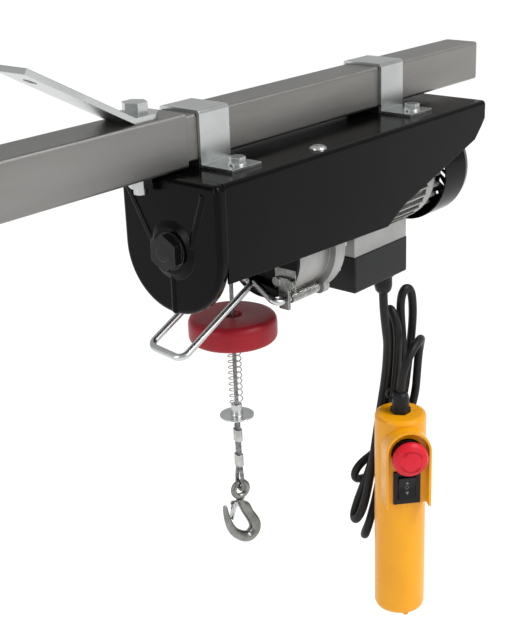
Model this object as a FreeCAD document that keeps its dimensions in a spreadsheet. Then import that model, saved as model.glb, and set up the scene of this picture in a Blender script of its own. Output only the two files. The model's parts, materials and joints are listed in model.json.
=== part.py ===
import FreeCAD, Part
import math
import os

import Sketcher
from FreeCAD import Placement, Rotation, Vector

# Mini electric wire-rope hoist clamped under a square support arm.
#
# Working frame: X runs along the arm, away from its root, and is 0 at the outer face of the
# hoist's end plate. Y is 0 on the arm's centre line and grows to the back. Z is 0 on the
# hoist's top plate and grows upwards. Every sub-part is then shifted by DATUM, so that the
# document's origin is the centre of the arm's root face.

SIZES = {
    # support arm
    "arm_reach": 180.0,        # end plate back to the arm's root face
    "beam_height": 26.0,       # arm centre line above the top plate
    "sleeve_size": 46.0,
    "sleeve_wall": 2.7,
    "sleeve_end": 24.0,
    "tube_size": 40.0,
    "tube_wall": 2.5,
    "tube_start": -100.0,
    "tube_end": 480.5,
    "brace_bolt_x": -10.9,
    "brace_width": 35.0,
    "brace_thickness": 5.0,
    # clamps
    "clamp_width": 36.8,
    "clamp_left_x": 39.2,
    "clamp_right_x": 299.0,
    "clamp_thickness": 3.0,
    "clamp_foot": 38.0,
    "clamp_bolt_y": 47.0,
    # frame
    "frame_front": -76.0,
    "frame_back": 58.0,
    "frame_start": 10.3,
    "frame_end": 408.0,
    "sheet_thickness": 2.5,
    "panel_drop": 92.0,
    "end_plate_depth": 10.0,
    "end_plate_radius": 56.0,
    "end_plate_axis_y": -20.0,
    "end_plate_axis_z": -64.0,
    # drum line, shared by the drum and the motor
    "drum_axis_y": -22.0,
    "drum_axis_z": -62.0,
    "barrel_radius": 20.0,
    "flange_radius": 45.0,
    "drum_start": 12.2,
    "drum_end": 109.5,
    "pack_radius": 28.0,
    "shaft_radius": 10.0,
    "journal_radius": 8.45,
    "bearing_outer": 17.5,
    "bearing_width": 8.6,
    # gear train
    "gear_gap": 36.0,          # between the drum line and the lay shaft
    "gear_tip": 28.3,
    "pinion_tip": 7.2,
    "gear_width": 12.0,
    "housing_axis_z": -94.0,
    "housing_radius": 44.0,
    "rim_radius": 51.0,
    "housing_start": 115.0,
    "rim_start": 158.0,
    "rim_end": 166.0,
    # motor
    "stator_start": 178.0,
    "stator_end": 312.0,
    "stator_radius": 45.5,
    "fin_radius": 50.0,
    "stator_bore": 36.0,
    "bell_end": 329.0,
    "cowl_start": 339.0,
    "cowl_end": 388.0,
    "cowl_radius": 52.6,
    "cowl_drop": 3.0,          # the cowl hangs a little below the fan's own axis
    "motor_shaft_radius": 6.0,
    # terminal box
    "box_start": 216.0,
    "box_end": 305.0,
    "box_front": -51.0,
    "box_back": 3.0,
    "box_seam": -123.6,
    "box_bottom": -160.0,
    # load line
    "rope_x": 98.0,
    "rope_y": 4.0,
    "rope_radius": 2.0,
    "disc_radius": 42.0,
    "disc_top": -156.0,
    "disc_bottom": -180.0,
    "spring_radius": 6.2,
    "hat_top": -248.0,
    "hat_flange": -259.0,
    "hat_radius": 16.5,
    "eye_z": -341.0,
    "hook_turn": -18.0,
    # limit lever
    "lever_wire": 3.25,
    "lever_axis_y": -51.0,
    "lever_axis_z": -134.0,
    # pendant control
    "pendant_x": 298.0,
    "pendant_y": -49.0,
    "pendant_radius": 27.7,
    "pendant_top": -318.0,
    "pendant_bottom": -556.0,
    "pendant_turn": -41.5,
    "cable_radius": 4.6,
    "gland_x": 290.0,
    "gland_y": -32.0,
}

DOC = FreeCAD.newDocument("Hoist")
SHEET = DOC.addObject("Spreadsheet::Sheet", "Sizes")
for row, (alias, number) in enumerate(SIZES.items(), start=1):
    SHEET.set("A%d" % row, alias)
    SHEET.set("B%d" % row, str(number))
    SHEET.setAlias("B%d" % row, alias)
DOC.recompute()

DATUM = Placement(Vector(SIZES["arm_reach"], 0, -SIZES["beam_height"]), Rotation())
NODES = []

ALONG_X = Rotation(Vector(0, 1, 0), 90)
ALONG_Y = Rotation(Vector(1, 0, 0), -90)
UPRIGHT = Rotation()
PLANES = {"XY": "XY_Plane", "XZ": "XZ_Plane", "YZ": "YZ_Plane"}


def size(name):
    return SIZES[name]


def bind(thing, prop, amount):
    """Give a property a number, a cell's alias or an expression over the sheet's cells."""
    if isinstance(amount, str):
        text = amount if "Sizes." in amount else "Sizes." + amount
        thing.setExpression(prop, text)
    else:
        setattr(thing, prop, amount)


def node(thing, label, turn=None, shift=None):
    """Name a finished sub-part and move it from the working frame to the arm's root."""
    local = Placement(shift or Vector(), turn or Rotation())
    thing.Label = label
    thing.Placement = DATUM.multiply(local.multiply(thing.Placement))
    NODES.append(thing)
    return thing


# ---- primitives and booleans -------------------------------------------------------------

def block(low, high, name="Block"):
    box = DOC.addObject("Part::Box", name)
    box.Length = high[0] - low[0]
    box.Width = high[1] - low[1]
    box.Height = high[2] - low[2]
    box.Placement = Placement(Vector(*low), Rotation())
    return box


def rod(start, along, length, radius, name="Rod"):
    cylinder = DOC.addObject("Part::Cylinder", name)
    bind(cylinder, "Radius", radius)
    bind(cylinder, "Height", length)
    cylinder.Placement = Placement(Vector(*start), along)
    return cylinder


def cut(base, tool, name="Cut"):
    result = DOC.addObject("Part::Cut", name)
    result.Base = base
    result.Tool = tool
    return result


def fuse(shapes, name="Fuse"):
    result = DOC.addObject("Part::MultiFuse", name)
    result.Shapes = shapes
    return result


def group(shapes, name="Group"):
    """Several separate solids that share one node."""
    result = DOC.addObject("Part::Compound", name)
    result.Links = shapes
    return result


def formed(shape, name):
    """A piece whose shape comes from Part's own functions."""
    thing = DOC.addObject("Part::Feature", name)
    thing.Shape = shape
    return thing


def hexagon(start, along, across_flats, height, name="Hex"):
    prism = DOC.addObject("Part::Prism", name)
    prism.Polygon = 6
    prism.Circumradius = across_flats / math.sqrt(3)
    bind(prism, "Height", height)
    prism.Placement = Placement(Vector(*start), along)
    return prism


# ---- sketched pieces ---------------------------------------------------------------------

def new_body(name):
    return DOC.addObject("PartDesign::Body", name)


def sketch_on(body, plane, offset=0.0):
    sketch = body.newObject("Sketcher::SketchObject", body.Name + "Sketch")
    origin = next(f for f in body.Origin.OriginFeatures if f.Role == PLANES[plane])
    sketch.AttachmentSupport = [(origin, "")]
    sketch.MapMode = "FlatFace"
    sketch.AttachmentOffset = Placement(Vector(0, 0, offset), Rotation())
    return sketch


def fix_point(sketch, edge, where, coordinates):
    """Tie one end of a sketched edge to plain numbers or to cells of the sheet."""
    for kind, coordinate in zip(("DistanceX", "DistanceY"), coordinates):
        bound = isinstance(coordinate, str)
        number = size(coordinate) if bound else coordinate
        if abs(number) < 1e-9:
            axis = -2 if kind == "DistanceX" else -1
            sketch.addConstraint(Sketcher.Constraint("PointOnObject", edge, where, axis))
            continue
        index = sketch.addConstraint(Sketcher.Constraint(kind, -1, 1, edge, where, number))
        if bound:
            sketch.setExpression("Constraints[%d]" % index, "Sizes." + coordinate)


def outline(sketch, points):
    """A closed outline of straight lines through points, each fixed in place."""
    numbers = [tuple(size(c) if isinstance(c, str) else c for c in point) for point in points]
    count = len(points)
    first = sketch.GeometryCount
    for index, (x, y) in enumerate(numbers):
        next_x, next_y = numbers[(index + 1) % count]
        sketch.addGeometry(Part.LineSegment(Vector(x, y, 0), Vector(next_x, next_y, 0)), False)
    for index in range(count):
        follower = first + (index + 1) % count
        sketch.addConstraint(Sketcher.Constraint("Coincident", first + index, 2, follower, 1))
    for index, point in enumerate(points):
        fix_point(sketch, first + index, 1, point)


def arched(sketch, corners, crown):
    """A closed outline: straight lines through the corners, closed by an arc over the crown."""
    points = [Vector(x, y, 0) for x, y in corners]
    top = Vector(crown[0], crown[1], 0)
    count = len(points) - 1
    for first, second in zip(points, points[1:]):
        sketch.addGeometry(Part.LineSegment(first, second), False)
    forward = (top - points[-1]).cross(points[0] - top).z > 0
    ends = (points[-1], points[0]) if forward else (points[0], points[-1])
    sketch.addGeometry(Part.Arc(ends[0], top, ends[1]), False)
    for edge in range(count - 1):
        sketch.addConstraint(Sketcher.Constraint("Coincident", edge, 2, edge + 1, 1))
    sketch.addConstraint(Sketcher.Constraint("Coincident", count - 1, 2, count, 1 if forward else 2))
    sketch.addConstraint(Sketcher.Constraint("Coincident", count, 2 if forward else 1, 0, 1))
    for edge, corner in enumerate(corners[:-1]):
        fix_point(sketch, edge, 1, corner)
    fix_point(sketch, count - 1, 2, corners[-1])


def ring(sketch, centre, radius):
    number = size(radius) if isinstance(radius, str) else radius
    edge = sketch.addGeometry(Part.Circle(Vector(*centre, 0), Vector(0, 0, 1), number), False)
    index = sketch.addConstraint(Sketcher.Constraint("Radius", edge, number))
    if isinstance(radius, str):
        sketch.setExpression("Constraints[%d]" % index, "Sizes." + radius)
    sketch.addConstraint(Sketcher.Constraint("DistanceX", -1, 1, edge, 3, centre[0]))
    sketch.addConstraint(Sketcher.Constraint("DistanceY", -1, 1, edge, 3, centre[1]))


def pad(body, sketch, length):
    feature = body.newObject("PartDesign::Pad", body.Name + "Pad")
    feature.Profile = sketch
    bind(feature, "Length", length)
    DOC.recompute()
    return feature


def pocket(body, sketch, length, backwards=False):
    """Cut a sketched outline out of the body, and make sure that it does cut."""
    before = body.Shape.Volume
    feature = body.newObject("PartDesign::Pocket", body.Name + "Pocket")
    feature.Profile = sketch
    bind(feature, "Length", length)
    feature.Reversed = backwards
    DOC.recompute()
    if body.Shape.Volume > before - 1.0:
        raise RuntimeError("pocket cuts nothing in " + body.Name)
    return feature


def round_edges(body, feature, radius, chosen):
    """Fillet the edges of a feature that the chosen test accepts."""
    names = ["Edge%d" % (i + 1) for i, edge in enumerate(feature.Shape.Edges) if chosen(edge)]
    fillet = body.newObject("PartDesign::Fillet", body.Name + "Fillet")
    fillet.Base = (feature, names)
    fillet.Radius = radius
    DOC.recompute()
    return fillet


def runs_along(edge, axis, at=None):
    """Is the edge straight, along an axis, and at the given other coordinates?"""
    if not isinstance(edge.Curve, Part.Line):
        return False
    direction = edge.Curve.Direction
    if abs(abs(getattr(direction, axis)) - 1) > 1e-6:
        return False
    start = edge.Vertexes[0].Point
    return all(abs(getattr(start, name) - number) < 0.01 for name, number in (at or {}).items())


def turned(name, profile, about="H_Axis"):
    """Turn a profile: (x, radius) pairs about X, or (radius, z) pairs about Z."""
    body = new_body(name)
    sketch = sketch_on(body, "XZ")
    outline(sketch, profile)
    feature = body.newObject("PartDesign::Revolution", name + "Turn")
    feature.Profile = sketch
    feature.ReferenceAxis = (sketch, [about])
    feature.Angle = 360
    DOC.recompute()
    return body


def gear_outline(radius, root, teeth):
    """The points of a wheel with straight-sided teeth."""
    points = []
    for tooth in range(teeth):
        middle = 2 * math.pi * tooth / teeth
        for share, reach in ((-0.30, root), (-0.14, radius), (0.14, radius), (0.30, root)):
            angle = middle + share * 2 * math.pi / teeth
            points.append(Vector(0, reach * math.cos(angle), reach * math.sin(angle)))
    return points


def gear(name, teeth, tip, depth, width, bore):
    """A spur gear about X, standing on X = 0."""
    points = gear_outline(tip, tip - depth, teeth)
    face = Part.Face(Part.makePolygon(points + points[:1]))
    shape = face.extrude(Vector(width, 0, 0))
    if bore:
        shape = shape.cut(Part.makeCylinder(bore, width, Vector(), Vector(1, 0, 0)))
    return formed(shape, name)


DRUM_LINE = Vector(0, size("drum_axis_y"), size("drum_axis_z"))
LAY_LINE = DRUM_LINE - Vector(0, 0, size("gear_gap"))


# ---- support arm -------------------------------------------------------------------------

def square_tube(label, outer, wall, corner, start, end, middle):
    """A square tube along X, with rounded edges; middle is its centre line's height."""
    body = new_body(label)
    half = outer / 2
    inner = half - wall
    sketch = sketch_on(body, "YZ", start)
    outline(sketch, [(-half, middle - half), (half, middle - half),
                     (half, middle + half), (-half, middle + half)])
    solid = pad(body, sketch, end - start)
    round_edges(body, solid, corner, lambda edge: runs_along(edge, "x"))
    hollow = sketch_on(body, "YZ", end)
    outline(hollow, [(-inner, middle - inner), (inner, middle - inner),
                     (inner, middle + inner), (-inner, middle + inner)])
    pocket(body, hollow, end - start)
    return body


def make_arm():
    middle = size("beam_height")
    sleeve = square_tube("outer_tube", size("sleeve_size"), size("sleeve_wall"), 3.0,
                         -size("arm_reach"), size("sleeve_end"), middle)
    inner = square_tube("inner_tube", size("tube_size"), size("tube_wall"), 3.0,
                        size("tube_start"), size("tube_end"), middle)
    for body in (sleeve, inner):
        drill = sketch_on(body, "XY", middle + 30)
        ring(drill, (size("brace_bolt_x"), 0.0001), 6.5)
        pocket(body, drill, 60)
        node(body, body.Name)


def make_brace():
    """A flat bar: a tab under the bolt, then a rising arm with a hole at its far end."""
    top = size("beam_height") + size("sleeve_size") / 2
    thick = size("brace_thickness")
    half = size("brace_width") / 2
    bolt = size("brace_bolt_x")
    bend = bolt - 17.0
    rise = math.radians(28.0)
    reach = 118.0
    body = new_body("BraceBlank")
    sketch = sketch_on(body, "XZ", -half)
    far = (bend - reach * math.cos(rise), top + reach * math.sin(rise))
    inward = thick * math.tan(rise / 2)
    outline(sketch, [(bolt + 17, top), (bend, top), far,
                     (far[0] + thick * math.sin(rise), far[1] + thick * math.cos(rise)),
                     (bend + inward, top + thick), (bolt + 17, top + thick)])
    bar = pad(body, sketch, size("brace_width"))
    round_edges(body, bar, half - 3, lambda edge: runs_along(edge, "z"))
    hole = sketch_on(body, "XY", top + 20)
    ring(hole, (bolt, 0.0001), 6.5)
    pocket(body, hole, 20)
    far_pin = rod((far[0] + 20 * math.cos(rise) - 30 * math.sin(rise), 0,
                   far[1] - 20 * math.sin(rise) - 30 * math.cos(rise)),
                  Rotation(Vector(0, 1, 0), math.degrees(rise)), 60, 5.5, "BraceFarPin")
    node(cut(body, far_pin, "BraceBar"), "brace_bar")


def bolt_with_head(point, shank_radius, length, across_flats, head, name):
    """A hexagon bolt that points down, with its head's underside at the given point."""
    crown = hexagon(point, UPRIGHT, across_flats, head, name + "Head")
    washer = rod((point[0], point[1], point[2]), UPRIGHT, 0.6, across_flats * 0.47, name + "Face")
    shank = rod((point[0], point[1], point[2] - length), UPRIGHT, length + 0.5, shank_radius,
                name + "Shank")
    return fuse([crown, washer, shank], name)


def make_brace_fixing():
    top = size("beam_height") + size("sleeve_size") / 2 + size("brace_thickness")
    bottom = size("beam_height") - size("sleeve_size") / 2
    bolt = size("brace_bolt_x")
    node(bolt_with_head((bolt, 0, top), 6.0, top - bottom + 17, 18.8, 9.0, "BraceBolt"),
         "brace_bolt")
    nut = hexagon((bolt, 0, bottom - 11), UPRIGHT, 18.0, 11, "BraceNutBlank")
    bore = rod((bolt, 0, bottom - 12), UPRIGHT, 13, 6.03, "BraceNutBore")
    node(cut(nut, bore, "BraceNut"), "brace_nut")


# ---- clamps ------------------------------------------------------------------------------

def make_clamp(label, start):
    """A strap bent over the tube, with a foot each side that is bolted to the top plate."""
    body = new_body(label)
    top = size("beam_height") + size("tube_size") / 2
    near = size("tube_size") / 2 + 0.2
    thick = size("clamp_thickness")
    foot = near + size("clamp_foot")
    sketch = sketch_on(body, "YZ", start)
    outline(sketch, [(-foot, 0), (-near, 0), (-near, top), (near, top), (near, 0), (foot, 0),
                     (foot, thick), (near + thick, thick), (near + thick, top + thick),
                     (-near - thick, top + thick), (-near - thick, thick), (-foot, thick)])
    strap = pad(body, sketch, "clamp_width")
    corners = [(near + thick, top + thick), (-near - thick, top + thick)]
    round_edges(body, strap, 3.4,
                lambda edge: any(runs_along(edge, "x", {"y": y, "z": z}) for y, z in corners))
    drill = sketch_on(body, "XY", 10)
    middle = start + size("clamp_width") / 2
    places = [(middle, side * size("clamp_bolt_y")) for side in (-1, 1)]
    for place in places:
        ring(drill, place, 4.4)
    pocket(body, drill, 12)
    node(body, label)
    return places


def make_clamps():
    places = make_clamp("clamp_left", size("clamp_left_x"))
    places += make_clamp("clamp_right", size("clamp_right_x"))
    lift = size("clamp_thickness")
    bolts = []
    nuts = []
    for number, (x, y) in enumerate(places):
        name = "ClampBolt%d" % number
        washer = rod((x, y, lift), UPRIGHT, 1.5, 8.0, name + "Washer")
        screw = bolt_with_head((x, y, lift + 1.5), 4.0, 18, 12.8, 5.3, name)
        bolts.append(fuse([washer, screw], name + "Set"))
        blank = hexagon((x, y, -9.2), UPRIGHT, 12.8, 6.5, name + "NutBlank")
        nuts.append(cut(blank, rod((x, y, -10), UPRIGHT, 8, 4.03, name + "NutBore"), name + "Nut"))
    node(group(bolts, "ClampBolts"), "clamp_bolts")
    node(group(nuts, "ClampNuts"), "clamp_nuts")
    gap = size("beam_height") - size("tube_size") / 2
    half = size("tube_size") / 2 - 1
    pads = [block((start, -half, 0), (start + size("clamp_width"), half, gap), "ClampPad")
            for start in (size("clamp_left_x"), size("clamp_right_x"))]
    node(group(pads, "ClampPads"), "clamp_pads")
    return places


# ---- frame -------------------------------------------------------------------------------

def make_frame_shell(bolt_places):
    """One folded sheet: top plate, cut-away front panel and a narrow back lip."""
    body = new_body("frame_shell")
    front = size("frame_front")
    back = size("frame_back")
    sheet = size("sheet_thickness")
    drop = size("panel_drop")
    start = size("frame_start")
    end = size("frame_end")
    sketch = sketch_on(body, "YZ", start)
    outline(sketch, [("frame_front", -drop), ("frame_front", 0), ("frame_back", 0), ("frame_back", -20),
                     (back - sheet, -20), (back - sheet, -sheet),
                     (front + sheet, -sheet), (front + sheet, -drop)])
    folded = pad(body, sketch, end - start)
    round_edges(body, folded, 4.0, lambda edge: any(
        runs_along(edge, "x", {"y": y, "z": 0}) for y in (front, back)))
    away = sketch_on(body, "XZ", -front + 5)
    outline(away, [(start - 5, -84.5), (236, -drop + 0.3), (262, -77), (390, -37),
                   (end - 6, -25), (end + 5, -12), (end + 5, -drop - 10), (start - 5, -drop - 10)])
    pocket(body, away, 10)
    holes = sketch_on(body, "XY", 5)
    for x, y in bolt_places + [(148.0, -62.0)]:
        ring(holes, (x, y), 4.4)
    pocket(body, holes, 12)
    node(body, "frame_shell")


def make_plate_rivet():
    """A domed, slotted plug in the front strip of the top plate."""
    body = turned("plate_rivet", [(0, -6), (4.3, -6), (4.3, 0), (8.0, 0), (7.4, 1.6), (5.0, 3.0),
                                  (0, 3.6)], "V_Axis")
    slot = sketch_on(body, "XY", 5)
    outline(slot, [(-5, -0.8), (5, -0.8), (5, 0.8), (-5, 0.8)])
    pocket(body, slot, 2.8)
    node(body, "plate_rivet", shift=Vector(148, -62, 0))


def make_end_plate():
    """A pressed pan with a turned rim, V-shaped ribs and a raised hub."""
    body = new_body("EndPan")
    sheet = size("sheet_thickness")
    y = size("end_plate_axis_y")
    z = size("end_plate_axis_z")
    radius = size("end_plate_radius")
    depth = size("end_plate_depth")
    for length, reach, lower in ((depth, radius, 0.0), (depth - sheet, radius - sheet, sheet)):
        sketch = sketch_on(body, "YZ", 0.0 if lower == 0 else depth)
        arched(sketch, [(y - reach, z), (y - reach, -lower), (y + reach, -lower), (y + reach, z)],
               (y, z - reach))
        if lower == 0:
            plate = pad(body, sketch, "end_plate_depth")
            corner = round_edges(body, plate, 6.0, lambda edge: runs_along(edge, "x", {"z": 0.0}))
            round_edges(body, corner, 4.5, lambda edge: all(abs(v.X) < 0.01 for v in edge.Vertexes))
        else:
            pocket(body, sketch, length)
    hub = Vector(0, size("drum_axis_y"), size("drum_axis_z"))
    boss = turned("EndBoss", [(-3.0, 8.8), (-3.0, 20.0), (-0.5, 26.0), (3.0, 26.0), (3.0, 8.8)])
    boss.Placement = Placement(hub, Rotation())
    collar = turned("BearingCollar", [(2.0, 8.8), (3.0, 8.8), (3.0, 17.55), (11.5, 17.55),
                                      (11.5, 22.0), (2.0, 22.0)])
    collar.Placement = Placement(hub, Rotation())
    ribs = []
    shaft_way = rod((-1, hub.y, hub.z), ALONG_X, 10, 8.8, "EndShaftWay")
    pan = cut(body, shaft_way, "EndPanBored")
    sunk = Vector(2.0, 0, 0)
    legs = ((Vector(0, -44, -56), Vector(0, -60, -11)), (Vector(0, 2, -56), Vector(0, 27, -13)),
            (Vector(0, -21, -84), Vector(0, -20.5, -116)))
    for number, (near, far) in enumerate(legs):
        bar = rod(tuple(near + sunk), Rotation(Vector(0, 0, 1), far - near), (far - near).Length,
                  4.0, "Rib%d" % number)
        tip = DOC.addObject("Part::Sphere", "RibTip%d" % number)
        tip.Radius = 4.0
        tip.Placement = Placement(far + sunk, Rotation())
        ribs += [bar, tip]
    solid = fuse([pan, boss, collar] + ribs, "EndPlateFuse")
    node(solid, "end_plate")


def make_hub_nut():
    """The locknut and washer on the drum shaft's fixed end cap."""
    blank = hexagon((-12.0, 0, 0), ALONG_X, 28.0, 8.5, "HubHex")
    washer = rod((-3.9, 0, 0), ALONG_X, 0.9, 16.5, "HubWasher")
    stub = turned("HubStub", [(-12.6, 0), (-12.6, 6.6), (-12.0, 7.2), (0.5, 7.2), (0.5, 0)])
    whole = fuse([blank, washer, stub], "HubNut")
    node(whole, "hub_nut", shift=DRUM_LINE)


# ---- drum line ---------------------------------------------------------------------------

def make_drum():
    start = size("drum_start")
    end = size("drum_end")
    barrel = size("barrel_radius")
    flange = size("flange_radius")
    bore = size("shaft_radius") + 0.02
    body = turned("drum", [(start, bore), (start, flange), (start + 3, flange), (start + 3.6, barrel),
                           (end - 3.6, barrel), (end - 3, flange), (end, flange), (end, bore)])
    node(body, "drum", shift=DRUM_LINE)
    last_turn = size("rope_x") - size("rope_radius") - 0.8
    first_layer = barrel + 3.6
    pack = turned("rope_pack", [(start + 4.0, barrel + 0.02), (start + 4.0, "pack_radius"),
                                (last_turn, "pack_radius"), (last_turn, first_layer),
                                (end - 4.0, first_layer), (end - 4.0, barrel + 0.02)])
    node(pack, "rope_pack", shift=DRUM_LINE)
    journal = size("journal_radius")
    shaft = turned("drum_shaft", [(1.0, 0), (1.0, journal), (12.0, journal), (12.0, "shaft_radius"),
                                  (111.0, "shaft_radius"), (111.0, journal), (153.5, journal),
                                  (153.5, 0)])
    node(shaft, "drum_shaft", shift=DRUM_LINE)
    wheel = gear("DrumGear", 44, size("gear_tip"), 2.6, size("gear_width"), journal + 0.02)
    node(wheel, "drum_gear", shift=DRUM_LINE + Vector(139, 0, 0))


def make_bearings():
    """Two ball bearings: each is an inner ring, an outer ring and balls, closed up."""
    outer = size("bearing_outer")
    bore = size("journal_radius") + 0.05
    width = size("bearing_width")
    rings = []
    for start in (3.0, 116.0):
        body = turned("Bearing", [(start, bore), (start, 11.5), (start + 0.8, 12.0), (start + 0.8, 14.0),
                                  (start, 14.5), (start, outer), (start + width, outer),
                                  (start + width, 14.5), (start + width - 0.8, 14.0),
                                  (start + width - 0.8, 12.0), (start + width, 11.5),
                                  (start + width, bore)])
        rings.append(body)
    node(group(rings, "Bearings"), "drum_bearings", shift=DRUM_LINE)


def stadium(start, length, low_radius, high_radius, name):
    """Two overlapping discs: one about the drum line, one about the housing's own centre."""
    upper = rod((start, size("drum_axis_y"), size("drum_axis_z")), ALONG_X, length, high_radius,
                name + "Upper")
    lower = rod((start, size("drum_axis_y"), size("housing_axis_z")), ALONG_X, length, low_radius,
                name + "Lower")
    return fuse([upper, lower], name)


def make_gear_housing():
    start = size("housing_start")
    rim = size("rim_start")
    end = size("rim_end")
    y = size("drum_axis_y")
    z = size("drum_axis_z")
    outside = stadium(start, rim - start, size("housing_radius"), 36.0, "HousingBody")
    flange = stadium(rim, end - rim, size("rim_radius"), 44.0, "HousingRim")
    lug = rod((rim, size("lever_axis_y"), size("lever_axis_z")), ALONG_X, end - rim, 7.5, "HousingLug")
    inside = stadium(start + 4, end - start, size("housing_radius") - 3.5, 32.0, "HousingCavity")
    seat = rod((start + 3.5, y, z), ALONG_X, 6.2, 21.5, "HousingSeat")
    shell = fuse([cut(fuse([outside, flange, lug], "HousingSolid"), inside, "HousingShell"), seat],
                 "HousingSeated")
    bearing = rod((start + 1.0, y, z), ALONG_X, 20, size("bearing_outer") + 0.05, "HousingBore")
    shaft_way = rod((start - 1, y, z), ALONG_X, 30, size("shaft_radius") + 0.6, "HousingShaftWay")
    lay_way = rod((start + 1.5, y, z - size("gear_gap")), ALONG_X, 20, 6.05, "HousingLayWay")
    lever_way = rod((rim - 1, size("lever_axis_y"), size("lever_axis_z")), ALONG_X, 20, 3.3,
                    "HousingLeverWay")
    tools = fuse([bearing, shaft_way, lay_way, lever_way], "HousingWays")
    node(cut(shell, tools, "GearHousing"), "gear_housing")


def make_side_plate():
    """The frame's inner plate, between the drum and the gear housing."""
    y = size("drum_axis_y")
    z = size("housing_axis_z")
    body = new_body("side_plate")
    sketch = sketch_on(body, "YZ", 111.6)
    reach = size("housing_radius") - 0.5
    arched(sketch, [(y - reach, z), (y - reach, -20), (y - reach + 6, -2.8), (y + reach - 6, -2.8),
                    (y + reach, -20), (y + reach, z)], (y, z - reach))
    pad(body, sketch, 3.0)
    hole = sketch_on(body, "YZ", 120)
    ring(hole, (y, size("drum_axis_z")), 12.0)
    pocket(body, hole, 20)
    node(body, "side_plate")


def make_gear_cover():
    end = size("rim_end")
    y = size("drum_axis_y")
    z = size("drum_axis_z")
    plate = stadium(end, 6.0, size("rim_radius"), 44.0, "CoverPlate")
    spigot = rod((end + 6, y, z), ALONG_X, size("stator_start") - end - 6, 49.0, "CoverSpigot")
    hollow = rod((end + 6, y, z), ALONG_X, 20, 40.0, "CoverHollow")
    ways = [rod((end - 1, y, z), ALONG_X, 20, size("motor_shaft_radius") + 0.05, "CoverShaftWay"),
            rod((end - 1, y, z - size("gear_gap")), ALONG_X, 5.5, 6.05, "CoverLayWay"),
            rod((end - 1, size("lever_axis_y"), size("lever_axis_z")), ALONG_X, 4, 3.3,
                "CoverLeverWay")]
    solid = cut(fuse([plate, spigot], "CoverSolid"), hollow, "CoverBlank")
    node(cut(solid, fuse(ways, "CoverWays"), "GearCover"), "gear_cover")


def make_housing_screws():
    """Hexagon screws around the lower half of the gear cover."""
    screws = []
    for number, degrees in enumerate((-91, -57, -20, 20, 57, 91)):
        angle = math.radians(degrees)
        y = size("drum_axis_y") + 45.5 * math.sin(angle)
        z = size("housing_axis_z") - 45.5 * math.cos(angle)
        start = size("rim_end") + 6
        head = hexagon((start, y, z), ALONG_X, 8.0, 4.0, "CoverScrewHead%d" % number)
        washer = rod((start, y, z), ALONG_X, 0.8, 5.0, "CoverScrewWasher%d" % number)
        screws.append(fuse([head, washer], "CoverScrew%d" % number))
    node(group(screws, "CoverScrews"), "housing_screws")


def make_gear_train():
    """The lay shaft with its pinion and its wheel, and the motor shaft's pinion."""
    shaft = turned("LayShaft", [(117.2, 0), (117.2, 6.0), (134.0, 6.0), (134.0, 6.9), (157.0, 6.9),
                                (157.0, 6.0), (169.2, 6.0), (169.2, 0)])
    pinion = gear("LayPinion", 9, size("pinion_tip"), 2.2, 18.0, 0)
    pinion.Placement = Placement(Vector(136, 0, 0), Rotation())
    whole = cut(shaft, cut(rod((136, 0, 0), ALONG_X, 18, 9.0, "LayRelief"), pinion, "LaySpaces"),
                "LayShaftCut")
    node(fuse([whole, pinion], "LayShaftWhole"), "lay_shaft", shift=LAY_LINE)
    wheel = gear("LayGear", 44, size("gear_tip"), 2.6, 7.0, 6.02)
    wheel.Placement = Placement(Vector(157.2, 0, 0), Rotation())
    node(wheel, "lay_gear", shift=LAY_LINE)


# ---- motor -------------------------------------------------------------------------------

def make_motor_shaft():
    radius = size("motor_shaft_radius")
    shaft = turned("MotorShaftBar", [(165.0, 0), (165.0, radius), (356.0, radius), (356.0, 0)])
    pinion = gear("MotorPinion", 9, size("pinion_tip"), 2.2, 9.5, 0)
    pinion.Placement = Placement(Vector(156.0, 0, 0), Rotation())
    node(fuse([shaft, pinion], "MotorShaft"), "motor_shaft", shift=DRUM_LINE)
    rotor = turned("rotor", [(192, radius + 0.02), (192, 14), (200, 16), (200, 34), (290, 34),
                             (290, 16), (298, 14), (298, radius + 0.02)])
    node(rotor, "rotor", shift=DRUM_LINE)


def make_motor_body():
    """A finned, extruded stator housing with the stator core's bore through it."""
    start = size("stator_start")
    length = size("stator_end") - start
    body = new_body("motor_body")
    sketch = sketch_on(body, "YZ", start)
    ring(sketch, (0.0001, 0.0001), "stator_radius")
    ring(sketch, (0.0001, 0.0001), "stator_bore")
    pad(body, sketch, length)
    fin_sketch = sketch_on(body, "YZ", start)
    outline(fin_sketch, [(-1.0, 44.0), (1.0, 44.0), (0.8, "fin_radius"), (-0.8, "fin_radius")])
    fin = pad(body, fin_sketch, length)
    pattern = body.newObject("PartDesign::PolarPattern", "FinPattern")
    pattern.Originals = [fin]
    pattern.Axis = (fin_sketch, ["N_Axis"])
    pattern.Angle = 360
    pattern.Occurrences = 36
    body.Tip = pattern
    DOC.recompute()
    node(body, "motor_body", shift=DRUM_LINE)


def make_end_bell():
    """The cast ring behind the stator: short ribs around it carry the cooling air."""
    start = size("stator_end")
    end = size("bell_end")
    radius = size("motor_shaft_radius") + 0.05
    body = turned("end_bell", [(start, radius), (start, 48.5), (end - 6, 48.5), (end, 46.0),
                               (end, 41.0), (start + 5, 38.0), (start + 5, radius)])
    rib_sketch = sketch_on(body, "YZ", end - 8)
    outline(rib_sketch, [(-2.0, 40.5), (2.0, 40.5), (1.5, 46.5), (-1.5, 46.5)])
    rib = pad(body, rib_sketch, 17.0)
    pattern = body.newObject("PartDesign::PolarPattern", "RibPattern")
    pattern.Originals = [rib]
    pattern.Axis = (rib_sketch, ["N_Axis"])
    pattern.Angle = 360
    pattern.Occurrences = 24
    body.Tip = pattern
    DOC.recompute()
    node(body, "end_bell", shift=DRUM_LINE)


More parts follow.
